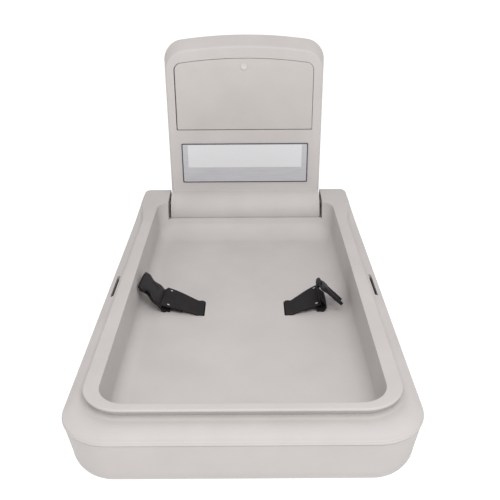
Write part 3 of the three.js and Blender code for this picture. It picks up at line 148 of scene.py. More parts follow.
# Dampers in the barrel and the frame inside the bed: mild steel tube and plate, sprayed with a dark
# powder coat, which bakes to a fine orange-peel skin. Arms are bolted to the rails.
COAT = "3C3E42"
COAT_PALE = "4B4E52"
COAT_PEEL = 2.5 * MM
COAT_RELIEF = (0.25, 0.2 * MM)
COAT_ROUGH = 0.48


def relief(tree, height, strength, depth):
    """A normal that a height pushes in and out by a depth, with a strength."""
    bump = {"Height": height, "Strength": strength, "Distance": depth}
    return add_node(tree, "Bump", {}, bump).outputs["Normal"]


coat, tree, shader, place = start_material("powder_coated_steel")
peel = noise(tree, place, COAT_PEEL, 2.0)
feed(shader, {"Base Color": shade(tree, peel, [(0.3, COAT), (0.7, COAT_PALE)]), "Roughness": COAT_ROUGH,
              "Normal": relief(tree, peel, *COAT_RELIEF)})
finish_nodes(coat, "damper", "hinge_arm", "frame_rail", "cross_bar")

# Housing: the arched upright with its hinge barrel and the barrel's rounded cover, one moulding of light grey
# polyethylene, open at the back. Its mould is spark-eroded, so the skin is satin with a fine stipple. It is
# screwed on the back plate.
GREY = "BEB9B7"
GREY_SHADE = "B8B3B1"
STIPPLE = 1.6 * MM
STIPPLE_RELIEF = (0.16, 0.25 * MM)
PLASTIC_CLOUD = 90 * MM
PLASTIC_ROUGH = (0.5, 0.6)
PLASTIC_IOR = 1.51
PLASTIC_SPECULAR = 0.3
UNIT_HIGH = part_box("housing")[1]
DOOR_LOW, DOOR_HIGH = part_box("liner_door")
LABEL_LOW, LABEL_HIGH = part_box("label_plate")
FACE_Y = -40 * MM
FACE_DRAFT = 6 * MM
TOP_SLOPE = 20 * MM
UNIT_FOOT = -16 * MM
UNIT_CORNER = 40 * MM
SLAB_CORNER_STEPS = 16
ARCH_CUTS = 31
UNIT_SKIN = 3 * MM
FACE_EDGE = 4 * MM
FACE_EDGE_STEPS = 6
ARCH_RADIUS = 1060 * MM
BARREL_RADIUS = 32.5 * MM
BARREL_HALF = 182 * MM
BARREL_EDGE = 1.2 * MM
BARREL_EDGE_STEPS = 3
BARREL_SIDES = 96
COVER_RADIUS = 50 * MM
COVER_Z = -17.5 * MM
COVER_NECK = 1 * MM
COVER_FOOT = 5 * MM
COVER_STEPS = 12
DOOR_GAP = 1.3 * MM
DOOR_TOP_GAP = 1 * MM
DOOR_OFF_CENTRE = 0.6 * MM
DOOR_CORNER = 14 * MM
LABEL_CORNER = 6 * MM
LABEL_CORNER_STEPS = 10
SEAT_GAP = 0.3 * MM
SHAFT_HOLE = 11 * MM
SHAFT_HOLE_SIDES = 48
PAST = 5 * MM
NEAR = 0.01 * MM
SHARP = math.radians(40)
SMOOTH = math.radians(32)


def moulded_plastic(name, pale, dark):
    """Moulded polyethylene: slow clouds of colour, a fine mould stipple and a satin gloss that varies.
    The stipple is drawn coarser than the real half millimetre, so that it shows in a picture."""
    material, tree, shader, place = start_material(name)
    clouds = noise(tree, place, PLASTIC_CLOUD, 4.0)
    stipple = noise(tree, place, STIPPLE, 2.0)
    feed(shader, {"Base Color": shade(tree, clouds, [(0.3, dark), (0.7, pale)]),
                  "Normal": relief(tree, stipple, *STIPPLE_RELIEF),
                  "Roughness": vary(tree, clouds, PLASTIC_ROUGH), "IOR": PLASTIC_IOR,
                  "Specular IOR Level": PLASTIC_SPECULAR})
    return material


def only(obj):
    """Makes the object the one that is selected and active."""
    bpy.ops.object.select_all(action="DESELECT")
    obj.select_set(True)
    bpy.context.view_layer.objects.active = obj


def in_edit(obj):
    """Opens the object alone in edit mode, with nothing picked."""
    only(obj)
    bpy.ops.object.mode_set(mode="EDIT")
    bpy.ops.mesh.select_all(action="DESELECT")


def pick(obj, kind, test):
    """Selects the vertices, edges or faces of the open mesh whose points all pass a test."""
    bpy.ops.mesh.select_all(action="DESELECT")
    bpy.ops.mesh.select_mode(type=kind)
    mesh = bmesh.from_edit_mesh(obj.data)
    parts = {"VERT": mesh.verts, "EDGE": mesh.edges, "FACE": mesh.faces}[kind]
    for part in parts:
        corners = [part] if kind == "VERT" else part.verts
        if all(test(corner.co) for corner in corners):
            part.select_set(True)
    mesh.select_flush_mode()
    bmesh.update_edit_mesh(obj.data)


def out_of_edit(obj):
    bpy.ops.object.mode_set(mode="OBJECT")
    return obj


def bevel(width, segments):
    """Rounds the picked edges of the open mesh."""
    bpy.ops.mesh.bevel(offset=width, segments=segments, affect="EDGES")


def primitive(name, kind, **sizes):
    """Adds one of the plain meshes under a name, with its place in its mesh."""
    bpy.ops.object.select_all(action="DESELECT")
    getattr(bpy.ops.mesh, f"primitive_{kind}_add")(**sizes)
    bpy.ops.object.transform_apply()
    obj = bpy.context.object
    obj.name = obj.data.name = name
    return obj


def new_block(name, low, high):
    """A box between two corners."""
    low, high = Vector(low), Vector(high)
    return primitive(name, "cube", size=1, location=(low + high) / 2, scale=high - low)


def new_bar(name, radius, half, centre, sides):
    """A round bar along x."""
    return primitive(name, "cylinder", vertices=sides, radius=radius, depth=half * 2, location=centre,
                     rotation=(0, math.pi / 2, 0))


def modify(obj, kind, **settings):
    """Puts a modifier with its settings on the object, and applies it."""
    only(obj)
    step = obj.modifiers.new(kind, kind)
    for name, value in settings.items():
        setattr(step, name, value)
    bpy.ops.object.modifier_apply(modifier=step.name)


def combine(obj, tool, operation):
    """Gives the object what an operation makes of it and a tool, and clears the tool away."""
    modify(obj, "BOOLEAN", operation=operation, object=tool, solver="EXACT")
    bpy.data.objects.remove(tool)
    return obj


def cut(obj, tool):
    return combine(obj, tool, "DIFFERENCE")


def fuse(obj, tool):
    return combine(obj, tool, "UNION")


def arched_slab(name, half, bottom, top, corner, front, back):
    """A slab with rounded upper corners and a flat arch along its top, between two depths."""
    slab = new_block(name, (-half, front, bottom), (half, back, top))
    near = corner / 100
    in_edit(slab)
    for sign in (1, -1):
        pick(slab, "EDGE", lambda p: p.z > top - near and p.x * sign > half - near)
        bevel(corner, SLAB_CORNER_STEPS)
    pick(slab, "EDGE", lambda p: p.z > top - near and abs(p.x) < half - corner + near)
    mesh = bmesh.from_edit_mesh(slab.data)
    for edge in mesh.edges:
        if edge.select and abs(edge.verts[0].co.x - edge.verts[1].co.x) < near:
            edge.select_set(False)
    bpy.ops.mesh.subdivide(number_cuts=ARCH_CUTS)
    mesh = bmesh.from_edit_mesh(slab.data)
    for vert in mesh.verts:
        if vert.co.z > top - corner - near:
            vert.co.z -= ARCH_RADIUS - math.sqrt(ARCH_RADIUS ** 2 - vert.co.x ** 2)
    bmesh.update_edit_mesh(slab.data)
    return out_of_edit(slab)


def unit_body(name, inset, front, back, edge):
    """The upright's skin drawn in by an inset: sides drafted and top sloped towards the face."""
    half, top = UNIT_HIGH.x - inset, UNIT_HIGH.z - inset
    body = arched_slab(name, half, UNIT_FOOT + inset, top, UNIT_CORNER - inset, FACE_Y, 0)
    in_edit(body)
    pick(body, "FACE", lambda p: p.y < FACE_Y / 2)
    for vert in (v for v in bmesh.from_edit_mesh(body.data).verts if v.select):
        vert.co.x *= (half - FACE_DRAFT) / half
        if vert.co.z > top / 2:
            vert.co.z -= TOP_SLOPE
    if edge:
        bpy.ops.mesh.region_to_loop()
        bevel(edge, FACE_EDGE_STEPS)
    pick(body, "VERT", lambda p: p.y < FACE_Y + NEAR)
    bpy.ops.transform.translate(value=(0, front - FACE_Y, 0))
    pick(body, "VERT", lambda p: p.y > -NEAR)
    bpy.ops.transform.translate(value=(0, back, 0))
    return out_of_edit(body)


def rounded_block(name, low, high, axis, corner, segments):
    """A box between two corners, with its four edges along an axis rounded."""
    block = new_block(name, low, high)
    in_edit(block)
    bpy.ops.mesh.select_mode(type="EDGE")
    for edge in bmesh.from_edit_mesh(block.data).edges:
        start, end = (vert.co for vert in edge.verts)
        edge.select_set(abs(start[axis] - end[axis]) > NEAR)
    bevel(corner, segments)
    return out_of_edit(block)


def draw_moulding(name, rings):
    """A closed skin: a loop of edges is filled, then extruded through each ring in turn, and filled again.
    Every point keeps its number round the loop, so that it lands on the same number of the next ring."""
    skin = primitive(name, "circle", vertices=len(rings[0]))
    bpy.ops.object.mode_set(mode="EDIT")
    mesh = bmesh.from_edit_mesh(skin.data)
    number = mesh.verts.layers.int.new("number")
    for i, vert in enumerate(mesh.verts):
        vert[number] = i
    for step, ring in enumerate(rings):
        if step:
            bpy.ops.mesh.extrude_region()
        mesh = bmesh.from_edit_mesh(skin.data)
        number = mesh.verts.layers.int["number"]
        for vert in mesh.verts:
            if vert.select:
                vert.co = ring[vert[number]]
        bmesh.update_edit_mesh(skin.data)
        if step in (0, len(rings) - 1):
            bpy.ops.mesh.edge_face_add()
        if step == 0:
            bpy.ops.mesh.region_to_loop()
    bpy.ops.mesh.select_all(action="SELECT")
    bpy.ops.mesh.normals_make_consistent(inside=False)
    return out_of_edit(skin)


def hinge_cover(name, inset, half):
    """The barrel's rounded cover, drawn in by an inset: a large arc from the face down to its front, a small
    one into its underside, and a flat run back under the barrel."""
    radius, foot = COVER_RADIUS - inset, COVER_FOOT - inset
    neck = math.sqrt((radius + COVER_NECK) ** 2 - COVER_NECK ** 2)
    turn = math.atan2(neck, COVER_NECK)
    line = [(COVER_NECK, neck)]
    for i in range(COVER_STEPS + 1):
        angle = -turn * i / COVER_STEPS
        line.append((COVER_NECK * (math.cos(angle) - 1), neck + COVER_NECK * math.sin(angle)))
    for i in range(1, COVER_STEPS * 3 + 1):
        angle = turn * (1 - i / COVER_STEPS / 3)
        line.append((-radius * math.cos(angle), radius * math.sin(angle)))
    for i in range(1, COVER_STEPS + 1):
        angle = math.pi / 2 * i / COVER_STEPS
        line.append((foot - radius - foot * math.cos(angle), -foot * math.sin(angle)))
    line += [(0, -foot), (COVER_NECK, -foot)]
    ends = [[Vector((x, FACE_Y + y, COVER_Z + z)) for y, z in line] for x in (-half, half)]
    return draw_moulding(name, ends)


def soften(obj, edge=0, segments=2):
    """Rounds the sharp edges of a finished moulding where asked, and shades its curves smooth."""
    if edge:
        modify(obj, "BEVEL", width=edge, segments=segments, limit_method="ANGLE", angle_limit=SHARP)
    only(obj)
    bpy.ops.object.shade_smooth_by_angle(angle=SMOOTH)
    return obj


def dress(obj, material, body, slot, *nodes):
    """Gives a finished piece its material and its body, and hides the nodes that it stands for. The slot is not
    used.
    """
    obj.data.materials.clear()
    obj.data.materials.append(material)
    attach(obj, body)
    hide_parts(*nodes)


grey_plastic = moulded_plastic("moulded_polyethylene", GREY, GREY_SHADE)
housing = unit_body("housing_moulding", 0, FACE_Y, 0, FACE_EDGE)
barrel = new_bar("barrel", BARREL_RADIUS, BARREL_HALF, (0, FACE_Y, 0), BARREL_SIDES)
fuse(housing, soften(barrel, BARREL_EDGE, BARREL_EDGE_STEPS))
fuse(housing, soften(hinge_cover("cover", 0, BARREL_HALF), BARREL_EDGE, BARREL_EDGE_STEPS))
cut(housing, unit_body("hollow", UNIT_SKIN, FACE_Y + UNIT_SKIN, PAST, 0))
room_half = BARREL_HALF - UNIT_SKIN
cut(housing, new_bar("bore", BARREL_RADIUS - UNIT_SKIN, room_half, (0, FACE_Y, 0), BARREL_SIDES))
cut(housing, hinge_cover("cover_room", UNIT_SKIN, room_half))
cut(housing, new_bar("shaft_way", SHAFT_HOLE, BARREL_HALF + PAST, (0, FACE_Y, 0), SHAFT_HOLE_SIDES))
door_way = arched_slab("door_way", DOOR_HIGH.x + DOOR_GAP, DOOR_LOW.z - DOOR_GAP,
                       DOOR_HIGH.z + DOOR_TOP_GAP, DOOR_CORNER + DOOR_GAP, FACE_Y - PAST,
                       FACE_Y + UNIT_SKIN + PAST)
in_edit(door_way)
bpy.ops.mesh.select_all(action="SELECT")
bpy.ops.transform.translate(value=(-DOOR_OFF_CENTRE, 0, 0))
cut(housing, out_of_edit(door_way))
label_bed = rounded_block("label_bed", (LABEL_LOW.x - SEAT_GAP, FACE_Y - PAST, LABEL_LOW.z - SEAT_GAP),
                          (LABEL_HIGH.x + SEAT_GAP, LABEL_HIGH.y + SEAT_GAP, LABEL_HIGH.z + SEAT_GAP),
                          1, LABEL_CORNER + SEAT_GAP, LABEL_CORNER_STEPS)
cut(housing, label_bed)
soften(housing)
dress(housing, grey_plastic, "wall_unit", "shell_plastic", "housing")

# Face plate: a thin silver foil label on card, die-cut with round corners and stuck in the housing's bed.
# A dark line is printed round its edge and a paler panel in its upper part; the panel is bare.
FOIL = "C9C9CD"
FOIL_SHADE = "BDBDC1"
FOIL_PANEL = "D3D3D5"
FOIL_LINE = "3A3940"
FOIL_GRAIN = 1.5 * MM
FOIL_STRETCH = 0.03
FOIL_ROUGH = (0.36, 0.5)
FOIL_METAL = 0.35
LABEL_RIM = 0.9 * MM
LABEL_LINE = 2.6 * MM
PANEL_HALF = 138 * MM
PANEL_TOP_INSET = 5 * MM
PANEL_HEIGHT = 56 * MM


def printed_foil(name, pale, dark, metallic):
    """Silver foil with a print on it: fine streaks along its length from the rolling, and a low gloss."""
    material, tree, shader, place = start_material(name)
    along = add_node(tree, "Mapping", {}, {"Vector": place, "Scale": (FOIL_STRETCH, 1, 1)})
    streak = noise(tree, along.outputs["Vector"], FOIL_GRAIN, 2.0)
    feed(shader, {"Base Color": shade(tree, streak, [(0.3, dark), (0.7, pale)]),
                  "Roughness": vary(tree, streak, FOIL_ROUGH), "Metallic": metallic})
    return material


label = rounded_block("label_foil", LABEL_LOW, LABEL_HIGH, 1, LABEL_CORNER, LABEL_CORNER_STEPS)
in_edit(label)
label_face = LABEL_LOW.y + NEAR
pick(label, "FACE", lambda p: p.y < label_face)
bpy.ops.mesh.inset(thickness=LABEL_RIM)
bpy.ops.mesh.inset(thickness=LABEL_LINE)
panel_top = LABEL_HIGH.z - PANEL_TOP_INSET
panel_low = panel_top - PANEL_HEIGHT
inner_half = LABEL_HIGH.x - LABEL_RIM - LABEL_LINE / 2
for point, normal in (((-PANEL_HALF, 0, 0), (1, 0, 0)), ((PANEL_HALF, 0, 0), (1, 0, 0)),
                      ((0, 0, panel_top), (0, 0, 1)), ((0, 0, panel_low), (0, 0, 1))):
    pick(label, "FACE", lambda p: p.y < label_face and abs(p.x) < inner_half)
    bpy.ops.mesh.bisect(plane_co=point, plane_no=normal)
out_of_edit(label)
for material in (printed_foil("silver_foil", FOIL, FOIL_SHADE, FOIL_METAL),
                 printed_foil("printed_line", FOIL_LINE, FOIL_LINE, 0.0),
                 printed_foil("printed_panel", FOIL_PANEL, FOIL_PANEL, 0.0)):
    label.data.materials.append(material)
for face in label.data.polygons:
    points = [label.data.vertices[i].co for i in face.vertices]
    if all(p.y < label_face for p in points):
        out = [max(abs(p.x) - LABEL_HIGH.x, p.z - LABEL_HIGH.z, LABEL_LOW.z - p.z) for p in points]
        if abs(face.center.x) < PANEL_HALF and panel_low < face.center.z < panel_top:
            face.material_index = 2
        elif max(out) < -LABEL_RIM / 2 and min(out) > -LABEL_RIM - LABEL_LINE * 1.5:
            face.material_index = 1
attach(label, "wall_unit")
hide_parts("label_plate")

# Liner pocket: a bin of darker grey polyethylene behind the door, open at its front.
# Moulded thin, screwed to the back plate. It holds folded paper liners.
POCKET_GREY = "97938F"
POCKET_SHADE = "8B8784"
finish_nodes(moulded_plastic("pocket_polyethylene", POCKET_GREY, POCKET_SHADE), "liner_pocket")

# Liner door: an arched panel of the housing's plastic that fills its opening, with a rib round its back,
# a heel along its foot and two lugs for the pins it tilts on. Moulded in one.
DOOR_GREY = "BDB8B5"
DOOR_GREY_SHADE = "B7B2AF"
DOOR_SKIN = 3 * MM
DOOR_FRONT_EDGE = 1.2 * MM
DOOR_EDGE_STEPS = 4
DOOR_RIB_INSET = 16.5 * MM
DOOR_RIB_LOW = 15 * MM
DOOR_RIB_TOP = 28.4 * MM
DOOR_RIB_DEPTH = 5.1 * MM
DOOR_HEEL_HALF = 149.5 * MM
DOOR_HEEL = 2 * MM
DOOR_HEEL_DEPTH = 14.1 * MM
DOOR_LUG = 9 * MM
DOOR_LUG_HALF = 4.15 * MM
PIN_Y = -33.5 * MM
PIN_Z = 194 * MM
PIN_HOLE = 2.1 * MM
PIN_SIDES = 24
door_back = DOOR_LOW.y + DOOR_SKIN
door = arched_slab("door_panel", DOOR_HIGH.x, DOOR_LOW.z, DOOR_HIGH.z, DOOR_CORNER, DOOR_LOW.y, door_back)
in_edit(door)
pick(door, "FACE", lambda p: p.y < DOOR_LOW.y + NEAR)
bpy.ops.mesh.region_to_loop()
bevel(DOOR_FRONT_EDGE, DOOR_EDGE_STEPS)
out_of_edit(door)
rib_half = DOOR_HIGH.x - DOOR_RIB_INSET
rib_low, rib_top = DOOR_LOW.z + DOOR_RIB_LOW, DOOR_HIGH.z - DOOR_RIB_TOP
rib = arched_slab("rib", rib_half, rib_low, rib_top, DOOR_CORNER, door_back - MM,
                  door_back + DOOR_RIB_DEPTH)
rib_room = arched_slab("rib_room", rib_half - DOOR_SKIN, rib_low + DOOR_SKIN, rib_top - DOOR_SKIN,
                       DOOR_CORNER - DOOR_SKIN, door_back - PAST, door_back + PAST * 2)
fuse(door, cut(rib, rib_room))
heel_end = (DOOR_HEEL_HALF, door_back + DOOR_HEEL_DEPTH - DOOR_SKIN, DOOR_LOW.z + DOOR_HEEL)
fuse(door, new_block("heel", (-DOOR_HEEL_HALF, door_back - MM, DOOR_LOW.z), heel_end))
for sign in (-1, 1):
    ends = sorted(sign * (DOOR_HIGH.x - SEAT_GAP - out) for out in (0, DOOR_LUG))
    fuse(door, new_block("lug", (ends[0], door_back - MM, PIN_Z - DOOR_LUG_HALF),
                         (ends[1], PIN_Y + DOOR_LUG_HALF, PIN_Z + DOOR_LUG_HALF)))
cut(door, new_bar("pin_way", PIN_HOLE, DOOR_HIGH.x + PAST, (0, PIN_Y, PIN_Z), PIN_SIDES))
soften(door)
door_plastic = moulded_plastic("door_polyethylene", DOOR_GREY, DOOR_GREY_SHADE)
dress(door, door_plastic, "liner_door_body", "door_plastic", "liner_door")

# Snap stud: a turned disc of frosted nylon in the door, hardly paler than it, with a rolled edge and a
# shallow dish in its face. Its shank goes through the door and snaps into the clip behind.
FROST = "C9C6C4"
FROST_SHADE = "C1BEBB"
CATCH_LOW, CATCH_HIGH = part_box("door_catch")
CATCH_ROLL = 0.7 * MM
CATCH_DISH_RIM = 2 * MM
CATCH_DISH = 0.35 * MM
CATCH_SHANK = 3 * MM
CATCH_SIDES = 64
CATCH_EDGE_STEPS = 5
catch_radius = CATCH_HIGH.x
catch_middle = (CATCH_LOW + CATCH_HIGH) / 2
disc_back = DOOR_LOW.y - SEAT_GAP
stud = primitive("snap_stud", "cylinder", vertices=CATCH_SIDES, radius=catch_radius,
                 depth=disc_back - CATCH_LOW.y, rotation=(math.pi / 2, 0, 0),
                 location=(0, (disc_back + CATCH_LOW.y) / 2, catch_middle.z))
in_edit(stud)
pick(stud, "FACE", lambda p: p.y < CATCH_LOW.y + NEAR)
bpy.ops.mesh.region_to_loop()
bevel(CATCH_ROLL, CATCH_EDGE_STEPS)
pick(stud, "FACE", lambda p: p.y < CATCH_LOW.y + NEAR)
bpy.ops.mesh.inset(thickness=CATCH_DISH_RIM)
bpy.ops.mesh.inset(thickness=CATCH_DISH * 2, depth=-CATCH_DISH)
pick(stud, "FACE", lambda p: p.y > disc_back - NEAR)
bpy.ops.mesh.inset(thickness=catch_radius - CATCH_SHANK)
bpy.ops.mesh.extrude_region_move(TRANSFORM_OT_translate={"value": (0, CATCH_HIGH.y - disc_back, 0)})
bpy.ops.mesh.region_to_loop()
bevel(CATCH_SHANK / 2, CATCH_EDGE_STEPS)
soften(out_of_edit(stud))
frosted_nylon = waxy_nylon("frosted_nylon", FROST, FROST_SHADE)
dress(stud, frosted_nylon, "liner_door_body", "white_nylon", "door_catch")

# Lower shell of the bed: a tapered skirt with a large round into its flat bottom, vacuum-formed from the
# same polyethylene. It closes the bed from below, and six countersunk screws hold it to the tray.
SHELL_LOW, SHELL_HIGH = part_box("bed_shell")
AXIS_Y = FACE_Y
BED_REAR = 28 * MM
BED_CORNER = 76 * MM
EAR_CORNER = 16 * MM
BED_WALL = 3.5 * MM
LEAST_CORNER = 1 * MM
SHELL_TAPER = 8 * MM
SHELL_ROUND = 38 * MM
TROUGH_RADIUS = 54.6 * MM
TROUGH_SIDES = 128
NOTCH_HALF = 187.4 * MM
LIP_Z = -18.6 * MM
TRAY_REAR = 46 * MM
FLOOR_FILLET = 27 * MM
SHOULDER_STARTS = 45 * MM
SHOULDER_FULL = 167 * MM
EAR_STEPS = 10
BLEND_STEPS = 24
CORNER_STEPS = 28
ROUND_STEPS = 12
SCREW_HEAD_DEPTH = 3.2 * MM
SCREW_SHANK = 2.5 * MM
SCREW_SIDES = 32
Line = namedtuple("Line", "side front rear front_corner rear_corner")
flange = Line(SHELL_HIGH.x, AXIS_Y - SHELL_LOW.y, BED_REAR, BED_CORNER, EAR_CORNER)


def grown(line, by):
    """A line of the bed moved outwards all round."""
    corners = [max(corner + by, LEAST_CORNER) for corner in line[3:]]
    return Line(line.side + by, line.front + by, line.rear + by, *corners)


def plan(line):
    """Points of a line seen from above, from its rear corner round by the right, then mirrored."""
    quarter = math.pi / 2
    half = []
    for i in range(EAR_STEPS + 1):
        turn = quarter * (1 - i / EAR_STEPS)
        half.append((line.side - line.rear_corner * (1 - math.cos(turn)),
                     line.rear - line.rear_corner * (1 - math.sin(turn))))
    start = min(-SHOULDER_STARTS, line.rear - line.rear_corner - LEAST_CORNER)
    for i in range(BLEND_STEPS + 1):
        half.append((line.side, start - (SHOULDER_FULL + start) * i / BLEND_STEPS))
    for i in range(CORNER_STEPS + 1):
        turn = quarter * i / CORNER_STEPS
        half.append((line.side - line.front_corner * (1 - math.cos(turn)),
                     -line.front + line.front_corner * (1 - math.sin(turn))))
    return half + [(-x, y) for x, y in reversed(half)]


def ease(share):
    """A share from 0 to 1 that starts and ends gently."""
    return share * share * (3 - 2 * share)


def bed_ring(line, z, ear_line=None, ear_z=None):
    """A ring that follows one line along the bed and another, at its own level, round the hinge ears."""
    ring = []
    for (x, y), (ear_x, ear_y) in zip(plan(line), plan(ear_line or line)):
        share = ease(min(max((y + SHOULDER_FULL) / (SHOULDER_FULL - SHOULDER_STARTS), 0), 1))
        level = z if ear_z is None else z + share * (ear_z - z)
        ring.append(Vector((x + share * (ear_x - x), AXIS_Y + y + share * (ear_y - y), level)))
    return ring


def shell_rings(inset):
    """Rings of the shell from its top edge down the skirt and round into the bottom."""
    foot = grown(flange, -SHELL_TAPER - inset)
    radius = SHELL_ROUND - inset
    rings = [bed_ring(grown(flange, -inset), SHELL_HIGH.z)]
    for i in range(ROUND_STEPS + 1):
        turn = math.pi / 2 * i / ROUND_STEPS
        level = SHELL_LOW.z + SHELL_ROUND - radius * math.sin(turn)
        rings.append(bed_ring(grown(foot, -radius * (1 - math.cos(turn))), level))
    return rings


def clear_barrel(obj, radius, half, lip):
    """Cuts the room for the barrel: all above the lip between the ears, and the trough under the barrel."""
    over = new_block("over", (-half, AXIS_Y - TRAY_REAR - FLOOR_FILLET, lip),
                     (half, AXIS_Y + BED_REAR * 2, BED_REAR * 2))
    cut(obj, over)
    cut(obj, new_bar("trough", radius, half, (0, AXIS_Y, 0), TROUGH_SIDES))


shell = draw_moulding("bed_shell_moulding", shell_rings(0)[::-1] + shell_rings(BED_WALL))
spare = BED_WALL + SEAT_GAP
clear_barrel(shell, TROUGH_RADIUS + spare, NOTCH_HALF + spare, LIP_Z - spare)
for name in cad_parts:
    if name.startswith("shell_screw"):
        low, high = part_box(name)
        middle = (low + high) / 2
        for radius, top, rise in (((high.x - low.x) / 2 + SEAT_GAP, SCREW_SHANK, SCREW_HEAD_DEPTH),
                                  (SCREW_SHANK, SCREW_SHANK, BED_WALL * 2)):
            cut(shell, primitive("screw_way", "cone", vertices=SCREW_SIDES, radius1=radius, radius2=top,
                                 depth=rise + SEAT_GAP,
                                 location=(middle.x, middle.y, SHELL_LOW.z + (rise - SEAT_GAP) / 2)))
soften(shell)
dress(shell, grey_plastic, "bed", "shell_plastic", "bed_shell")

# Upper tray of the bed: floor, drafted walls with a large round at the rear, flat rim over a step that is hollow
# beneath its edge, crowned shoulder, a beaded edge over the shell and two hinge ears beside the barrel. One
# deep-drawn skin of the same polyethylene, with slots for the straps and for a bag's strap.
RIM_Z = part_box("bed_tray")[1].z
FLOOR_Z = RIM_Z - 80.8 * MM
BEAD = 1.2 * MM
BEAD_HEIGHT = 4 * MM
BEAD_STEPS = 6
FLANGE_EDGE = 3 * MM
FLANGE_EDGE_STEPS = 5
RIM_SIDE_INSET = 27.3 * MM
RIM_FRONT_INSET = 39.5 * MM
RIM_CORNER = 61 * MM
RIM_WIDTH = 23 * MM
RIM_FRONT_WIDTH = 14 * MM
BOWL_FRONT_CORNER = 43 * MM
BOWL_REAR_CORNER = 45 * MM
RIM_STEP = 16 * MM
STEP_COVE = 1.5 * MM
STEP_HOLLOW = 15 * MM
STEP_UNDERCUT = 7.5 * MM
STEP_STEPS = 10
STEP_WALL = 2.625 * MM
RIM_EDGE = 1.5 * MM
RIM_EDGE_STEPS = 6
BOWL_EDGE_STEPS = 4
EAR_ROUND = 9 * MM
EAR_LEAN = 7 * MM
EAR_RISE = 4.5 * MM
LIP_EDGE = 1.2 * MM
LIP_EDGE_STEPS = 4
LIP_NEAR = 0.05 * MM
PIPE_WALL = 3 * MM
SHOULDER_BULGE = 3 * MM
SHOULDER_STEPS = 8
TRAY_DRAFT = 3 * MM
REAR_ROUND = 64 * MM
REAR_FOOT = 110.9 * MM
BAG_SLOT_X = 247 * MM
BAG_SLOT_Y = (-520 * MM, -437 * MM)
BAG_SLOT_HALF = 3 * MM
BAG_SLOT_ROUND = 2.7 * MM
STRAP_SLOT_X = 81 * MM
STRAP_SLOT_Y = -460 * MM
STRAP_SLOT_HALF = (3 * MM, 28 * MM)
STRAP_SLOT_ROUND = 2 * MM
SLOT_STEPS = 6
seam_z = SHELL_HIGH.z + SEAT_GAP
flange_top = seam_z + BEAD_HEIGHT
step_foot = RIM_Z - RIM_STEP
rim = Line(flange.side - RIM_SIDE_INSET, flange.front - RIM_FRONT_INSET, BED_REAR, RIM_CORNER, EAR_CORNER)
bowl = Line(rim.side - RIM_WIDTH, rim.front - RIM_FRONT_WIDTH, -TRAY_REAR, BOWL_FRONT_CORNER, BOWL_REAR_CORNER)


def bowl_rings(offset):
    """Rings down the bowl's wall, round the fillet and on to the floor, at an offset outwards."""
    foot = grown(bowl, -TRAY_DRAFT)
    rings = []
    for i in range(ROUND_STEPS + 1):
        turn = math.pi / 2 * i / ROUND_STEPS
        inset = FLOOR_FILLET - (FLOOR_FILLET + offset) * math.cos(turn)
        level = FLOOR_Z + FLOOR_FILLET - (FLOOR_FILLET + offset) * math.sin(turn)
        line = grown(foot, -inset)
        drop = min(FLOOR_Z + REAR_ROUND - level, REAR_ROUND + offset)
        reach = math.sqrt((REAR_ROUND + offset) ** 2 - drop ** 2)
        rings.append(bed_ring(line._replace(rear=min(line.rear, reach - REAR_FOOT)), level))
    return rings


def curve(start, pull, end, steps):
    """Points along a quadratic curve from start towards a pull point and on to end, start left out."""
    points = []
    for i in range(1, steps + 1):
        t = i / steps
        points.append([a * (1 - t) ** 2 + b * 2 * t * (1 - t) + c * t ** 2
                       for a, b, c in zip(start, pull, end)])
    return points


def ear_edge(turn):
    """Line and level on an ear's rounded edge, from its side at turn 0 to its top at turn 1."""
    angle = turn * math.pi / 2
    line = flange._replace(side=flange.side - EAR_LEAN)
    level = RIM_Z + EAR_RISE - EAR_ROUND * (1 - math.sin(angle))
    return grown(line, -EAR_ROUND * (1 - math.cos(angle))), level


def outer_rings():
    """Rings from the seam up over the bead, the shoulder, the step and the rim's edge, and down the bowl."""
    rings = []
    for i in range(BEAD_STEPS + 1):
        share = i / BEAD_STEPS
        rings.append(bed_ring(grown(flange, BEAD * math.sin(math.pi * share)), seam_z + BEAD_HEIGHT * share))
    for inset, rise in curve((0, 0), (0, FLANGE_EDGE), (FLANGE_EDGE, FLANGE_EDGE), FLANGE_EDGE_STEPS):
        share = rise / FLANGE_EDGE
        ear_z = flange_top + share * (RIM_Z + EAR_RISE - EAR_ROUND - flange_top)
        ear_line = flange._replace(side=flange.side - EAR_LEAN * share)
        rings.append(bed_ring(grown(flange, -inset), flange_top + rise, ear_line, ear_z))
    cove = (RIM_EDGE + STEP_COVE, step_foot - RIM_EDGE)
    groove = (RIM_EDGE - STEP_UNDERCUT, RIM_Z - STEP_HOLLOW)
    wall = (RIM_EDGE, RIM_Z - RIM_EDGE * 2)
    profile = [cove, *curve(cove, (RIM_EDGE - STEP_UNDERCUT, step_foot), groove, STEP_STEPS), wall,
               *curve(wall, (RIM_EDGE, RIM_Z), (-RIM_EDGE, RIM_Z), RIM_EDGE_STEPS)]
    edge, foot = grown(flange, -FLANGE_EDGE), grown(rim, cove[0])
    for i in range(1, SHOULDER_STEPS):
        share = i / SHOULDER_STEPS
        line = Line(*(a + (b - a) * share for a, b in zip(edge, foot)))
        level = (flange_top + FLANGE_EDGE) * (1 - share) + cove[1] * share
        level += SHOULDER_BULGE * 4 * share * (1 - share)
        rings.append(bed_ring(line, level, *ear_edge(share / len(profile))))
    for i, (out, level) in enumerate(profile):
        rings.append(bed_ring(grown(rim, out), level, *ear_edge((i + 1) / len(profile))))
    rings.append(bed_ring(grown(bowl, RIM_EDGE), RIM_Z))
    for out, drop in curve((RIM_EDGE, 0), (0, 0), (0, RIM_EDGE), BOWL_EDGE_STEPS):
        rings.append(bed_ring(grown(bowl, out), RIM_Z - drop))
    return rings + bowl_rings(0)


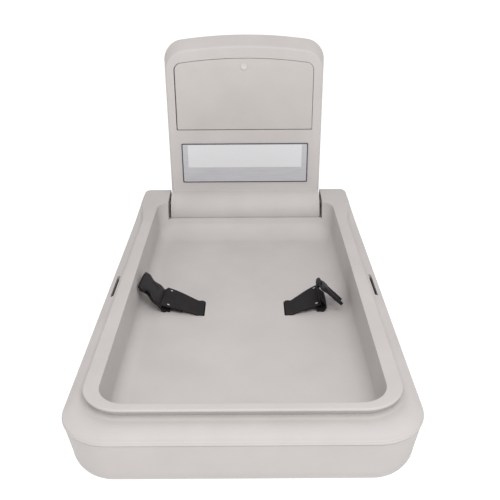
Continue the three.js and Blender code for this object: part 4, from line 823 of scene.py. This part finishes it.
def hidden_rings():
    """Rings of the tray's underside, from below the floor back to the inside of the seam."""
    ear_line = ear_edge(1)[0]
    behind = grown(rim, -STEP_UNDERCUT - STEP_WALL)
    return [*bowl_rings(BED_WALL)[::-1],
            bed_ring(grown(bowl, BED_WALL), RIM_Z - BED_WALL),
            bed_ring(behind, RIM_Z - BED_WALL, grown(ear_line, -BED_WALL), RIM_Z - BED_WALL),
            bed_ring(behind, step_foot - BED_WALL, grown(ear_line, BED_WALL), RIM_Z - EAR_ROUND),
            bed_ring(grown(flange, -BED_WALL), flange_top - BED_WALL / 2),
            bed_ring(grown(flange, -BED_WALL), seam_z)]


tray = draw_moulding("bed_tray_moulding", outer_rings()[::-1] + hidden_rings()[::-1])
clear_barrel(tray, TROUGH_RADIUS, NOTCH_HALF, LIP_Z)
# Pipe of the trough, and a cheek beside it under each ear, kept out of the bowl
half = NOTCH_HALF + BED_WALL / 2
axis = (0, AXIS_Y, 0)
trough_front = AXIS_Y - TROUGH_RADIUS - BED_WALL
pipe = new_bar("pipe", TROUGH_RADIUS + PIPE_WALL, half, axis, TROUGH_SIDES)
combine(pipe, new_block("below", (-half * 2, trough_front, -TROUGH_RADIUS * 2),
                        (half * 2, AXIS_Y + BED_REAR, LIP_Z)), "INTERSECT")
fuse(tray, pipe)
front = trough_front - BED_WALL
rear = AXIS_Y + BED_REAR - BED_WALL - SHELL_TAPER / 2
upper_end = (AXIS_Y + BED_REAR - BED_WALL / 2, RIM_Z - BED_WALL / 2)
within = bed_ring(grown(bowl, BED_WALL / 2), RIM_Z + EAR_RISE)
for sign in (-1, 1):
    low, high = sorted((sign * NOTCH_HALF, sign * (NOTCH_HALF + BED_WALL)))
    middle = ((low + high) / 2, AXIS_Y, 0)
    cheek = new_bar("cheek", TROUGH_RADIUS + PIPE_WALL, BED_WALL / 2, middle, TROUGH_SIDES)
    combine(cheek, new_block("keep", (low - PAST, trough_front, -TROUGH_RADIUS * 2),
                             (high + PAST, rear, LIP_Z + MM)), "INTERSECT")
    fuse(cheek, new_block("upper", (low, front, seam_z + MM), (high, *upper_end)))
    fuse(cheek, new_block("middle", (low, front, LIP_Z), (high, rear, seam_z + MM * 2)))
    cut(cheek, draw_moulding("bowl_room", [*bowl_rings(BED_WALL / 2)[::-1], within]))
    fuse(tray, cheek)
cut(tray, new_bar("inside_trough", TROUGH_RADIUS, NOTCH_HALF, axis, TROUGH_SIDES))
# Lip over the trough, its front edge rounded
lip_back = AXIS_Y - math.sqrt(TROUGH_RADIUS ** 2 - LIP_Z ** 2)


def on_lip(point):
    """Whether a point lies on the front edge of the trough's lip."""
    ahead = point.y < lip_back - BED_WALL / 2 and abs(point.x) <= NOTCH_HALF + LIP_NEAR
    return ahead and abs(point.z - LIP_Z) < LIP_NEAR


in_edit(tray)
bpy.ops.mesh.select_mode(type="EDGE")
for edge in bmesh.from_edit_mesh(tray.data).edges:
    sharp = edge.is_manifold and edge.calc_face_angle() > SMOOTH
    edge.select_set(sharp and all(on_lip(vert.co) for vert in edge.verts))
bpy.ops.mesh.bevel(offset=LIP_EDGE, segments=LIP_EDGE_STEPS, affect="EDGES", clamp_overlap=True)
out_of_edit(tray)
cut(tray, new_bar("shaft_way", SHAFT_HOLE, NOTCH_HALF + BED_WALL * 2, axis, SHAFT_HOLE_SIDES))


def upright_slot(x, y, half_x, half_y, low, high, corner):
    """A cutter for a slot seen from above, with its upright edges rounded."""
    start, end = (x - half_x, y - half_y, low), (x + half_x, y + half_y, high)
    return rounded_block("slot", start, end, 2, corner, SLOT_STEPS)


bag_y = sum(BAG_SLOT_Y) / 2
bag_half = (BAG_SLOT_Y[1] - BAG_SLOT_Y[0]) / 2
for sign in (-1, 1):
    cut(tray, upright_slot(sign * BAG_SLOT_X, bag_y, BAG_SLOT_HALF, bag_half, seam_z, RIM_Z, BAG_SLOT_ROUND))
    cut(tray, upright_slot(sign * STRAP_SLOT_X, STRAP_SLOT_Y, *STRAP_SLOT_HALF, FLOOR_Z - BED_WALL * 2,
                           FLOOR_Z + MM, STRAP_SLOT_ROUND))
soften(tray)
dress(tray, grey_plastic, "bed", "shell_plastic", "bed_tray")

# Buckle halves: a side-release buckle in black acetal, each half moulded in one shot. The socket is a waisted
# box with release windows in its sides; the plug has two hooked prongs and a guide. A bar behind each half
# carries the webbing's loop.
ACETAL = "1B191B"
ACETAL_PALE = "232023"
ACETAL_GRAIN = 1.2 * MM
OVAL_STEPS = 56
SQUARENESS = 0.42
SOCKET_BASE = Vector((-166.2, -446.6, -39.4)) * MM
SOCKET_TIP = Vector((-202.1, -443.5, 0.8)) * MM
SOCKET_ACROSS = Vector((0.08, 1, 0))
SOCKET_SIDE = ((0, 30), (10, 31), (30, 24), (45, 31), (54, 28.5))
SOCKET_THICK = ((0, 5), (12, 6.3), (42, 6.3), (54, 5.2))
SOCKET_THROAT = 20
SOCKET_DEPTH = 38
WINDOW = (17 * MM, 23 * MM, 37 * MM, 3.6 * MM)
RECESS_HALF = (12 * MM, 9 * MM)
RECESS_AT = 25 * MM
RECESS_DEPTH = 0.7 * MM
EDGE_ROUND = ((0, 1.3), (0.35, 0.5), (1.3, 0))
BAR_BACK = 4.9 * MM
BAR_RADIUS = 2 * MM
BAR_ARM = (28 * MM, 30.2 * MM)
BAR_ARM_HALF = 2.6 * MM
PLUG_BASE = Vector((150.5, -448, -9.5)) * MM
PLUG_TIP = Vector((192.2, -462.5, -43.7)) * MM
PLUG_ACROSS = Vector((0, 0.97, -0.25))
PLUG_SIDE = ((0, 30), (6, 31), (17, 28.5))
PLUG_THICK = ((0, 4.2), (5, 5.2), (12, 5.2), (17, 4.4))
PRONG_INNER = ((12, 16.5), (33, 16.2), (55, 17.5))
PRONG_OUTER = ((12, 25.5), (33.8, 25.2), (34.4, 29.2), (37.5, 29.2), (42, 25.6), (55, 23.5))
PRONG_THICK = ((12, 3.5), (55, 3.2))
PRONG_ENDS = (12, 55)
GUIDE_HALF = (2.2 * MM, 2.8 * MM)
GUIDE_END = 46 * MM
acetal, tree, shader, place = start_material("black_acetal")
grain = add_node(tree, "TexNoise", {}, {"Vector": place, "Scale": 1 / ACETAL_GRAIN, "Detail": 3.0})
tree.links.new(shade(tree, grain.outputs["Fac"], [(0.3, ACETAL), (0.7, ACETAL_PALE)]),
               shader.inputs["Base Color"])
sheen = add_node(tree, "MapRange", {}, {"Value": grain.outputs["Fac"], "To Min": 0.36, "To Max": 0.5})
tree.links.new(sheen.outputs["Result"], shader.inputs["Roughness"])
spark = add_node(tree, "Bump", {}, {"Height": grain.outputs["Fac"], "Strength": 0.12, "Distance": 0.1 * MM})
tree.links.new(spark.outputs["Normal"], shader.inputs["Normal"])
shader.inputs["IOR"].default_value = 1.48
shader.inputs["Specular IOR Level"].default_value = 0.25


def swell(keys, at):
    """A width at a place along a buckle half, eased between the widths of its keys."""
    for (start, low), (end, high) in zip(keys, keys[1:]):
        if at <= end:
            share = max((at - start) / (end - start), 0)
            return low + (high - low) * share * share * (3 - 2 * share)
    return keys[-1][1]


def oval(at, left, right, thick):
    """A ring across a buckle half, in millimetres: an oval with flattened sides."""
    ring = []
    for i in range(OVAL_STEPS):
        turn = 2 * math.pi * i / OVAL_STEPS
        x, z = (math.copysign(abs(part) ** SQUARENESS, part) for part in (math.cos(turn), math.sin(turn)))
        ring.append(Vector(((left + right) / 2 + (right - left) / 2 * x, at, thick * z)) * MM)
    return ring


def bar_of_rings(start, end, inner, outer, thick, rounded):
    """Rings of a solid bar between two places, with its ends rounded where asked."""
    places = [start + i for i in range(int(end - start) + 1)]
    places += [key[0] for key in outer if start < key[0] < end]
    rows = [(at, 0) for at in places if not (rounded[0] and at < start + EDGE_ROUND[-1][0])
            and not (rounded[1] and at > end - EDGE_ROUND[-1][0])]
    rows += [(start + back, drop) for back, drop in EDGE_ROUND if rounded[0]]
    rows += [(end - back, drop) for back, drop in EDGE_ROUND if rounded[1]]
    return [oval(at, swell(inner, at) + drop, swell(outer, at) - drop, swell(thick, at) - drop)
            for at, drop in sorted(set(rows))]


def negative(keys):
    return [(at, -half) for at, half in keys]


def add_bar(half):
    """Joins the bar that carries the webbing, with its two arms, to the back of a buckle half."""
    combine(half, new_bar("bar", BAR_RADIUS, BAR_ARM[1], (0, -BAR_BACK, 0), 24), "UNION")
    for sign in (-1, 1):
        ends = sorted((sign * BAR_ARM[0], sign * BAR_ARM[1]))
        arm = new_block("arm", (ends[0], -BAR_BACK - BAR_ARM_HALF, -BAR_ARM_HALF),
                        (ends[1], BAR_BACK, BAR_ARM_HALF))
        combine(half, soften(arm, BAR_ARM_HALF / 3, 3), "UNION")


def lay(half, base, tip, hint):
    """Turns a buckle half from its own axes, x across and y along it, to how it lies in the tray."""
    along = (tip - base).normalized()
    through = hint.cross(along).normalized()
    turned = Matrix((along.cross(through), along, through)).transposed().to_4x4()
    half.matrix_world = Matrix.Translation(base) @ turned
    place = half.matrix_world.copy()
    bpy.ops.object.select_all(action="DESELECT")
    half.select_set(True)
    bpy.context.view_layer.objects.active = half
    bpy.ops.object.transform_apply()
    return place


# Socket: outer rings from the back to the mouth, over the lip and back down the throat
length = SOCKET_SIDE[-1][0]
outer = bar_of_rings(0, length, negative(SOCKET_SIDE), SOCKET_SIDE, SOCKET_THICK, (True, True))
throat = [oval(at, -side, side, thick) for at, side, thick in (
    (length, 23.4, 3.5), (length - 1, 22.6, 3.1), (length - 6, SOCKET_THROAT, 3.0),
    (length - SOCKET_DEPTH, SOCKET_THROAT, 3.0))]
socket = draw_moulding("buckle_socket_moulding", outer + throat)
for sign in (-1, 1):
    reach, low, high, thick = WINDOW
    ends = sorted((sign * reach, sign * reach * 2))
    window = new_block("window", (ends[0], low, -thick), (ends[1], high, thick))
    combine(socket, soften(window, thick / 3, 3), "DIFFERENCE")
    levels = sorted(sign * (SOCKET_THICK[1][1] * MM + side) for side in (-RECESS_DEPTH, PAST))
    combine(socket, upright_slot(0, RECESS_AT, *RECESS_HALF, *levels, RECESS_HALF[1] / 2), "DIFFERENCE")
add_bar(socket)
soften(socket)
socket_place = lay(socket, SOCKET_BASE, SOCKET_TIP, SOCKET_ACROSS)
dress(socket, acetal, "bed", "buckle_plastic", "buckle_socket")

# Plug: a short body, two prongs that bend inwards to snap home, and a guide blade between them
plug = draw_moulding("buckle_plug_moulding", bar_of_rings(0, PLUG_SIDE[-1][0], negative(PLUG_SIDE), PLUG_SIDE,
                                                          PLUG_THICK, (True, True)))
combine(plug, draw_moulding("prong", bar_of_rings(*PRONG_ENDS, PRONG_INNER, PRONG_OUTER, PRONG_THICK,
                                                  (False, True))), "UNION")
combine(plug, draw_moulding("prong", bar_of_rings(*PRONG_ENDS, negative(PRONG_OUTER), negative(PRONG_INNER),
                                                  PRONG_THICK, (False, True))), "UNION")
guide = new_block("guide", (-GUIDE_HALF[0], PRONG_ENDS[0] * MM, -GUIDE_HALF[1]),
                  (GUIDE_HALF[0], GUIDE_END, GUIDE_HALF[1]))
combine(plug, soften(guide, GUIDE_HALF[0] / 2, 3), "UNION")
add_bar(plug)
soften(plug)
plug_place = lay(plug, PLUG_BASE, PLUG_TIP, PLUG_ACROSS)
dress(plug, acetal, "bed", "buckle_plastic", "buckle_plug")

# Safety straps: two lengths of black polyester webbing, woven 55 mm wide. Each comes from its anchor plate up
# through a slot in the floor, goes round its buckle half's bar in a slack loop and is sewn back under itself.
WEB = "232022"
WEB_PALE = "353134"
WEB_WIDTH = 55 * MM
WEB_THICKNESS = 2.2 * MM
WEB_CELLS = 14
WEB_EDGE = 0.7 * MM
WEB_CUP = 0.5 * MM
WEB_CROWN = 1.5 * MM
WARP_PITCH = 1.9 * MM
WEFT_PITCH = 2.4 * MM
KNOT_STEPS = 5
LEVEL = Vector((0, 1, 0))
SLOT_WAY = ((-16, -65.8), (-9, -65.8), (-2.9, -65.6), (-0.6, -64.4), (0, -62.4), (0, -59.6), (0.6, -57.6),
            (2.9, -56.4), (7, -56.2), (12, -56.2))
RISE_SHARES = (0.12, 0.3, 0.5, 0.7, 0.86, 0.95)
UNDER_SHARES = (0.76, 0.66, 0.54, 0.42)
UNDER_DROP = 2.4 * MM
LEFT_END = (Vector((-153.8, -418.5, -33.5)) * MM, Vector((-158.2, -472.5, -44)) * MM)
LEFT_ROUND = ((-3.9, 5.6), (-2, 3.2), (-1.45, 0), (-2.46, -2.44), (-4.9, -3.45), (-8.4, -3.3))
LEFT_SLACK = ((-160.4, -446.8, -52.4), (-155.8, -446.4, -55.6), (-150.3, -446, -56), (-146, -445.7, -52.6),
              (-143.6, -445.4, -47.5))
RIGHT_END = (Vector((146, -420.5, -27.5)) * MM, Vector((149, -472.5, -42)) * MM)
RIGHT_ROUND = ((7.9, 16.6), (1.2, 11.8), (-4.6, 7.4), (-7.9, 2.9), (-8.3, -0.6), (-7, -2.8), (-4.9, -3.45),
               (-2.46, -2.44), (-1.45, 0), (-1.4, 4.4))
RIGHT_SLACK = ((146.4, -448.6, -17), (147.8, -449, -24.5), (150.6, -449.3, -31.5), (156, -449.3, -37.5),
               (160, -449, -43.5), (159.6, -448.6, -50), (154.5, -448.2, -55), (147.5, -447.9, -56),
               (142, -447.6, -51.5), (140.2, -447.4, -45))

webbing, tree, shader, place = start_material("woven_polyester_webbing")
weave = add_node(tree, "UVMap", {"uv_map": "weave"}, {})
cells = add_node(tree, "Mapping", {}, {"Vector": weave.outputs["UV"],
                                       "Scale": (1 / WARP_PITCH, 1 / WEFT_PITCH, 1)})
yarns = add_node(tree, "SeparateXYZ", {}, {"Vector": cells.outputs["Vector"]})
# Yarns are drawn half as wide again as real ones, so that the weave shows; each stands half a bead on
column = add_node(tree, "Math", {"operation": "FLOOR"}, {0: yarns.outputs["X"]})
offset = add_node(tree, "Math", {"operation": "MULTIPLY_ADD"}, {0: column.outputs[0], 1: 0.5,
                                                                2: yarns.outputs["Y"]})
ridge = add_node(tree, "Math", {"operation": "PINGPONG"}, {0: yarns.outputs["X"], 1: 0.5})
bead = add_node(tree, "Math", {"operation": "PINGPONG"}, {0: offset.outputs[0], 1: 0.5})
height = add_node(tree, "Math", {"operation": "MULTIPLY"}, {0: ridge.outputs[0], 1: bead.outputs[0]})
# Colour: paler on the crowns of the yarns and darker between them, which is painted highlight and painted shade
# of the weave, with a slow random wear mottle added on top
wear = add_node(tree, "TexNoise", {}, {"Vector": place, "Scale": 1 / (25 * MM), "Detail": 4.0})
weave_shade_and_wear = add_node(tree, "Math", {"operation": "MULTIPLY_ADD"}, {0: wear.outputs["Fac"], 1: 0.2,
                                                              2: height.outputs[0]})
tree.links.new(shade(tree, weave_shade_and_wear.outputs[0], [(0.08, WEB), (0.36, WEB_PALE)]), shader.inputs["Base Color"])
threads = add_node(tree, "Bump", {}, {"Height": height.outputs[0], "Strength": 0.7, "Distance": 0.5 * MM})
tree.links.new(threads.outputs["Normal"], shader.inputs["Normal"])
shader.inputs["Roughness"].default_value = 0.72
shader.inputs["Specular IOR Level"].default_value = 0.12


def web_route(sign, ends, buckle, round_bar, slack):
    """Middle points of the webbing from its tail to its sewn end, each with its direction across."""
    route = [(Vector((sign * (STRAP_SLOT_X + out * MM), STRAP_SLOT_Y, z * MM)), LEVEL) for out, z in SLOT_WAY]
    rise, end = route[-1][0], (ends[0] + ends[1]) / 2
    tilted = (ends[0] - ends[1]).normalized()
    across = buckle.to_3x3() @ Vector((1, 0, 0))
    across = across if across.y > 0 else -across

    def on_strap(share, drop):
        eased = share * share * (3 - 2 * share)
        way = LEVEL.lerp(tilted, eased).normalized()
        under = (end - rise).cross(way).normalized()
        under = -under if under.z > 0 else under
        point = rise.lerp(end, share) + Vector((0, 0, WEB_CROWN * math.sin(math.pi * share)))
        return point + under * drop, way

    route += [on_strap(share, 0) for share in RISE_SHARES]
    route.append((end, tilted))
    for i, (along, through) in enumerate(round_bar):
        share = min((i + 1) / 3, 1)
        route.append((buckle @ (Vector((0, along, through)) * MM), tilted.lerp(across, share).normalized()))
    for i, point in enumerate(slack):
        route.append((Vector(point) * MM, across.lerp(tilted, (i + 1) / (len(slack) + 1)).normalized()))
    return route + [on_strap(share, UNDER_DROP) for share in UNDER_SHARES]


def along_route(route):
    """The route as a smooth run of closer points, each with its direction across."""
    run = []
    for i in range(len(route) - 1):
        before, start, end, after = (route[min(max(i + j, 0), len(route) - 1)] for j in (-1, 0, 1, 2))
        for step in range(KNOT_STEPS):
            t = step / KNOT_STEPS
            point = (start[0] * 2 + (end[0] - before[0]) * t
                     + (before[0] * 2 - start[0] * 5 + end[0] * 4 - after[0]) * t ** 2
                     + (start[0] * 3 - before[0] - end[0] * 3 + after[0]) * t ** 3) / 2
            run.append((point, start[1].lerp(end[1], t).normalized()))
    return run + [route[-1]]


def weave_strap(name, run):
    """A grid of webbing laid along a run, cupped a little across its width, with its weave's map in metres."""
    bpy.ops.object.select_all(action="DESELECT")
    bpy.ops.mesh.primitive_grid_add(x_subdivisions=WEB_CELLS, y_subdivisions=len(run) - 1)
    strap = bpy.context.object
    strap.name = strap.data.name = name
    gone = [0.0]
    for (start, _), (end, _) in zip(run, run[1:]):
        gone.append(gone[-1] + (end - start).length)
    for i, vert in enumerate(strap.data.vertices):
        row, column = divmod(i, WEB_CELLS + 1)
        middle, across = run[row]
        way = (run[min(row + 1, len(run) - 1)][0] - run[max(row - 1, 0)][0]).normalized()
        share = 2 * column / WEB_CELLS - 1
        vert.co = middle + across * share * WEB_WIDTH / 2 + across.cross(way) * WEB_CUP * (share ** 2 - 1 / 3)
    weave = strap.data.uv_layers[0]
    weave.name = "weave"
    for corner in strap.data.loops:
        row, column = divmod(corner.vertex_index, WEB_CELLS + 1)
        weave.data[corner.index].uv = (WEB_WIDTH * column / WEB_CELLS, gone[row])
    bpy.context.view_layer.objects.active = strap
    wall = strap.modifiers.new("wall", "SOLIDIFY")
    wall.thickness = WEB_THICKNESS
    wall.offset = 0
    bpy.ops.object.modifier_apply(modifier=wall.name)
    return soften(strap, WEB_EDGE, 2), gone[-1]


# Bar tacks: dense rows of white polyester thread across each edge of the webbing, near the end of the doubled
# part, which sew its two layers together. Machine sewn.
THREAD = "C4C1BF"
THREAD_SHADE = "AAA7A5"
THREAD_RADIUS = 0.42 * MM
TACK_LENGTH = 4 * MM
TACK_WIDTH = 2.6 * MM
TACK_STITCHES = 8
TACK_FROM_EDGE = 6 * MM
TACK_SHARE = 0.88
thread, tree, shader, place = start_material("white_polyester_thread")
twist = add_node(tree, "TexWave", {"bands_direction": "DIAGONAL"}, {"Vector": place, "Scale": 1 / (6 * MM)})
tree.links.new(shade(tree, twist.outputs["Fac"], [(0, THREAD_SHADE), (1, THREAD)]), shader.inputs["Base Color"])
shader.inputs["Roughness"].default_value = 0.6


def sew_tacks(name, ends, rise):
    """Two bar tacks on a strap near its end, each a row of short stitches bound by two long ones."""
    along = ((ends[0] + ends[1]) / 2 - rise).normalized()
    tilted = (ends[0] - ends[1]).normalized()
    across = LEVEL.lerp(tilted, TACK_SHARE).normalized()
    upward = across.cross(along).normalized()
    upward = -upward if upward.z < 0 else upward
    middle = rise.lerp((ends[0] + ends[1]) / 2, TACK_SHARE)
    middle = middle + Vector((0, 0, WEB_CROWN * math.sin(math.pi * TACK_SHARE)))
    stitches = []
    for sign in (-1, 1):
        spot = middle + across * sign * (WEB_WIDTH / 2 - TACK_FROM_EDGE)
        rows = [(along * TACK_LENGTH * (i / (TACK_STITCHES - 1) - 0.5), across, TACK_WIDTH)
                for i in range(TACK_STITCHES)]
        rows += [(across * TACK_WIDTH * side / 4, along, TACK_LENGTH) for side in (-1, 1)]
        for shift, way, size in rows:
            lift = upward * (WEB_THICKNESS / 2 + (THREAD_RADIUS * 1.5 if way is along else THREAD_RADIUS / 2))
            bpy.ops.object.select_all(action="DESELECT")
            bpy.ops.mesh.primitive_cylinder_add(vertices=10, radius=THREAD_RADIUS, depth=size,
                                                location=spot + shift + lift,
                                                rotation=way.to_track_quat("Z", "Y").to_euler())
            stitch = bpy.context.object
            bpy.ops.object.transform_apply()
            stitches.append(soften(stitch, THREAD_RADIUS * 0.6, 2))
    bpy.ops.object.select_all(action="DESELECT")
    for stitch in stitches:
        stitch.select_set(True)
    bpy.context.view_layer.objects.active = stitches[0]
    bpy.ops.object.join()
    tacks = stitches[0]
    tacks.name = tacks.data.name = name
    tacks.data.materials.append(thread)
    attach(tacks, "bed")
    return tacks


for side, sign, ends, buckle, round_bar, slack in (
        ("left", -1, LEFT_END, socket_place, LEFT_ROUND, LEFT_SLACK),
        ("right", 1, RIGHT_END, plug_place, RIGHT_ROUND, RIGHT_SLACK)):
    route = web_route(sign, ends, buckle, round_bar, slack)
    strap, cut_length = weave_strap("webbing_" + side, along_route(route))
    dress(strap, webbing, "bed", "webbing", "strap_" + side)
    tacks = sew_tacks("bar_tacks_" + side, ends, route[len(SLOT_WAY) - 1][0])

# Floor, camera and light: one plain pale sheet well below the bed, a camera with the photo's angle and focal
# length, and an even white sky with one large soft lamp in front of the bed. Stage only, no part of the object.
FLOOR_WHITE = "C6C6C5"
bpy.ops.object.select_all(action="DESELECT")
bpy.ops.mesh.primitive_plane_add(size=60, location=(0, 0, -0.85))
floor = bpy.context.object
floor.name = "floor"
bpy.ops.object.transform_apply()
pale, tree, shader, place = start_material("pale_floor")
shader.inputs["Base Color"].default_value = linear(FLOOR_WHITE)
shader.inputs["Roughness"].default_value = 0.9
shader.inputs["Emission Color"].default_value = linear(FLOOR_WHITE)
shader.inputs["Emission Strength"].default_value = 1.2
floor.data.materials.append(pale)

PHOTO_FOCAL = 667.63
PHOTO_SIDE = 500
SENSOR = 36
PITCH = math.radians(25.859)
YAW = math.radians(-0.0665)
ROLL = math.radians(-0.3818)
camera = bpy.data.objects.new("camera", bpy.data.cameras.new("camera"))
bpy.context.scene.collection.objects.link(camera)
camera.data.sensor_width = SENSOR
camera.data.lens = PHOTO_FOCAL / PHOTO_SIDE * SENSOR
aim = Matrix.Rotation(-YAW, 4, "Z") @ Matrix.Rotation(math.pi / 2 - PITCH, 4, "X")
aim = aim @ Matrix.Rotation(ROLL, 4, "Z")
camera.matrix_world = Matrix.Translation(Vector((12.8, -1602.9, 625.2)) * MM) @ aim
bpy.context.scene.camera = camera

world = bpy.data.worlds.new("studio")
bpy.context.scene.world = world
world.use_nodes = True
world.node_tree.nodes["Background"].inputs["Color"].default_value = (1, 1, 1, 1)
world.node_tree.nodes["Background"].inputs["Strength"].default_value = 0.7
key = bpy.data.objects.new("key", bpy.data.lights.new("key", "AREA"))
bpy.context.scene.collection.objects.link(key)
key.data.size = 1.4
key.data.energy = 29
key_place = Vector((0.2, -1.75, 1.6))
key_aim = Vector((0, -0.45, 0)) - key_place
key.matrix_world = Matrix.Translation(key_place) @ key_aim.to_track_quat("-Z", "Y").to_matrix().to_4x4()
bpy.context.scene.view_settings.view_transform = "Standard"
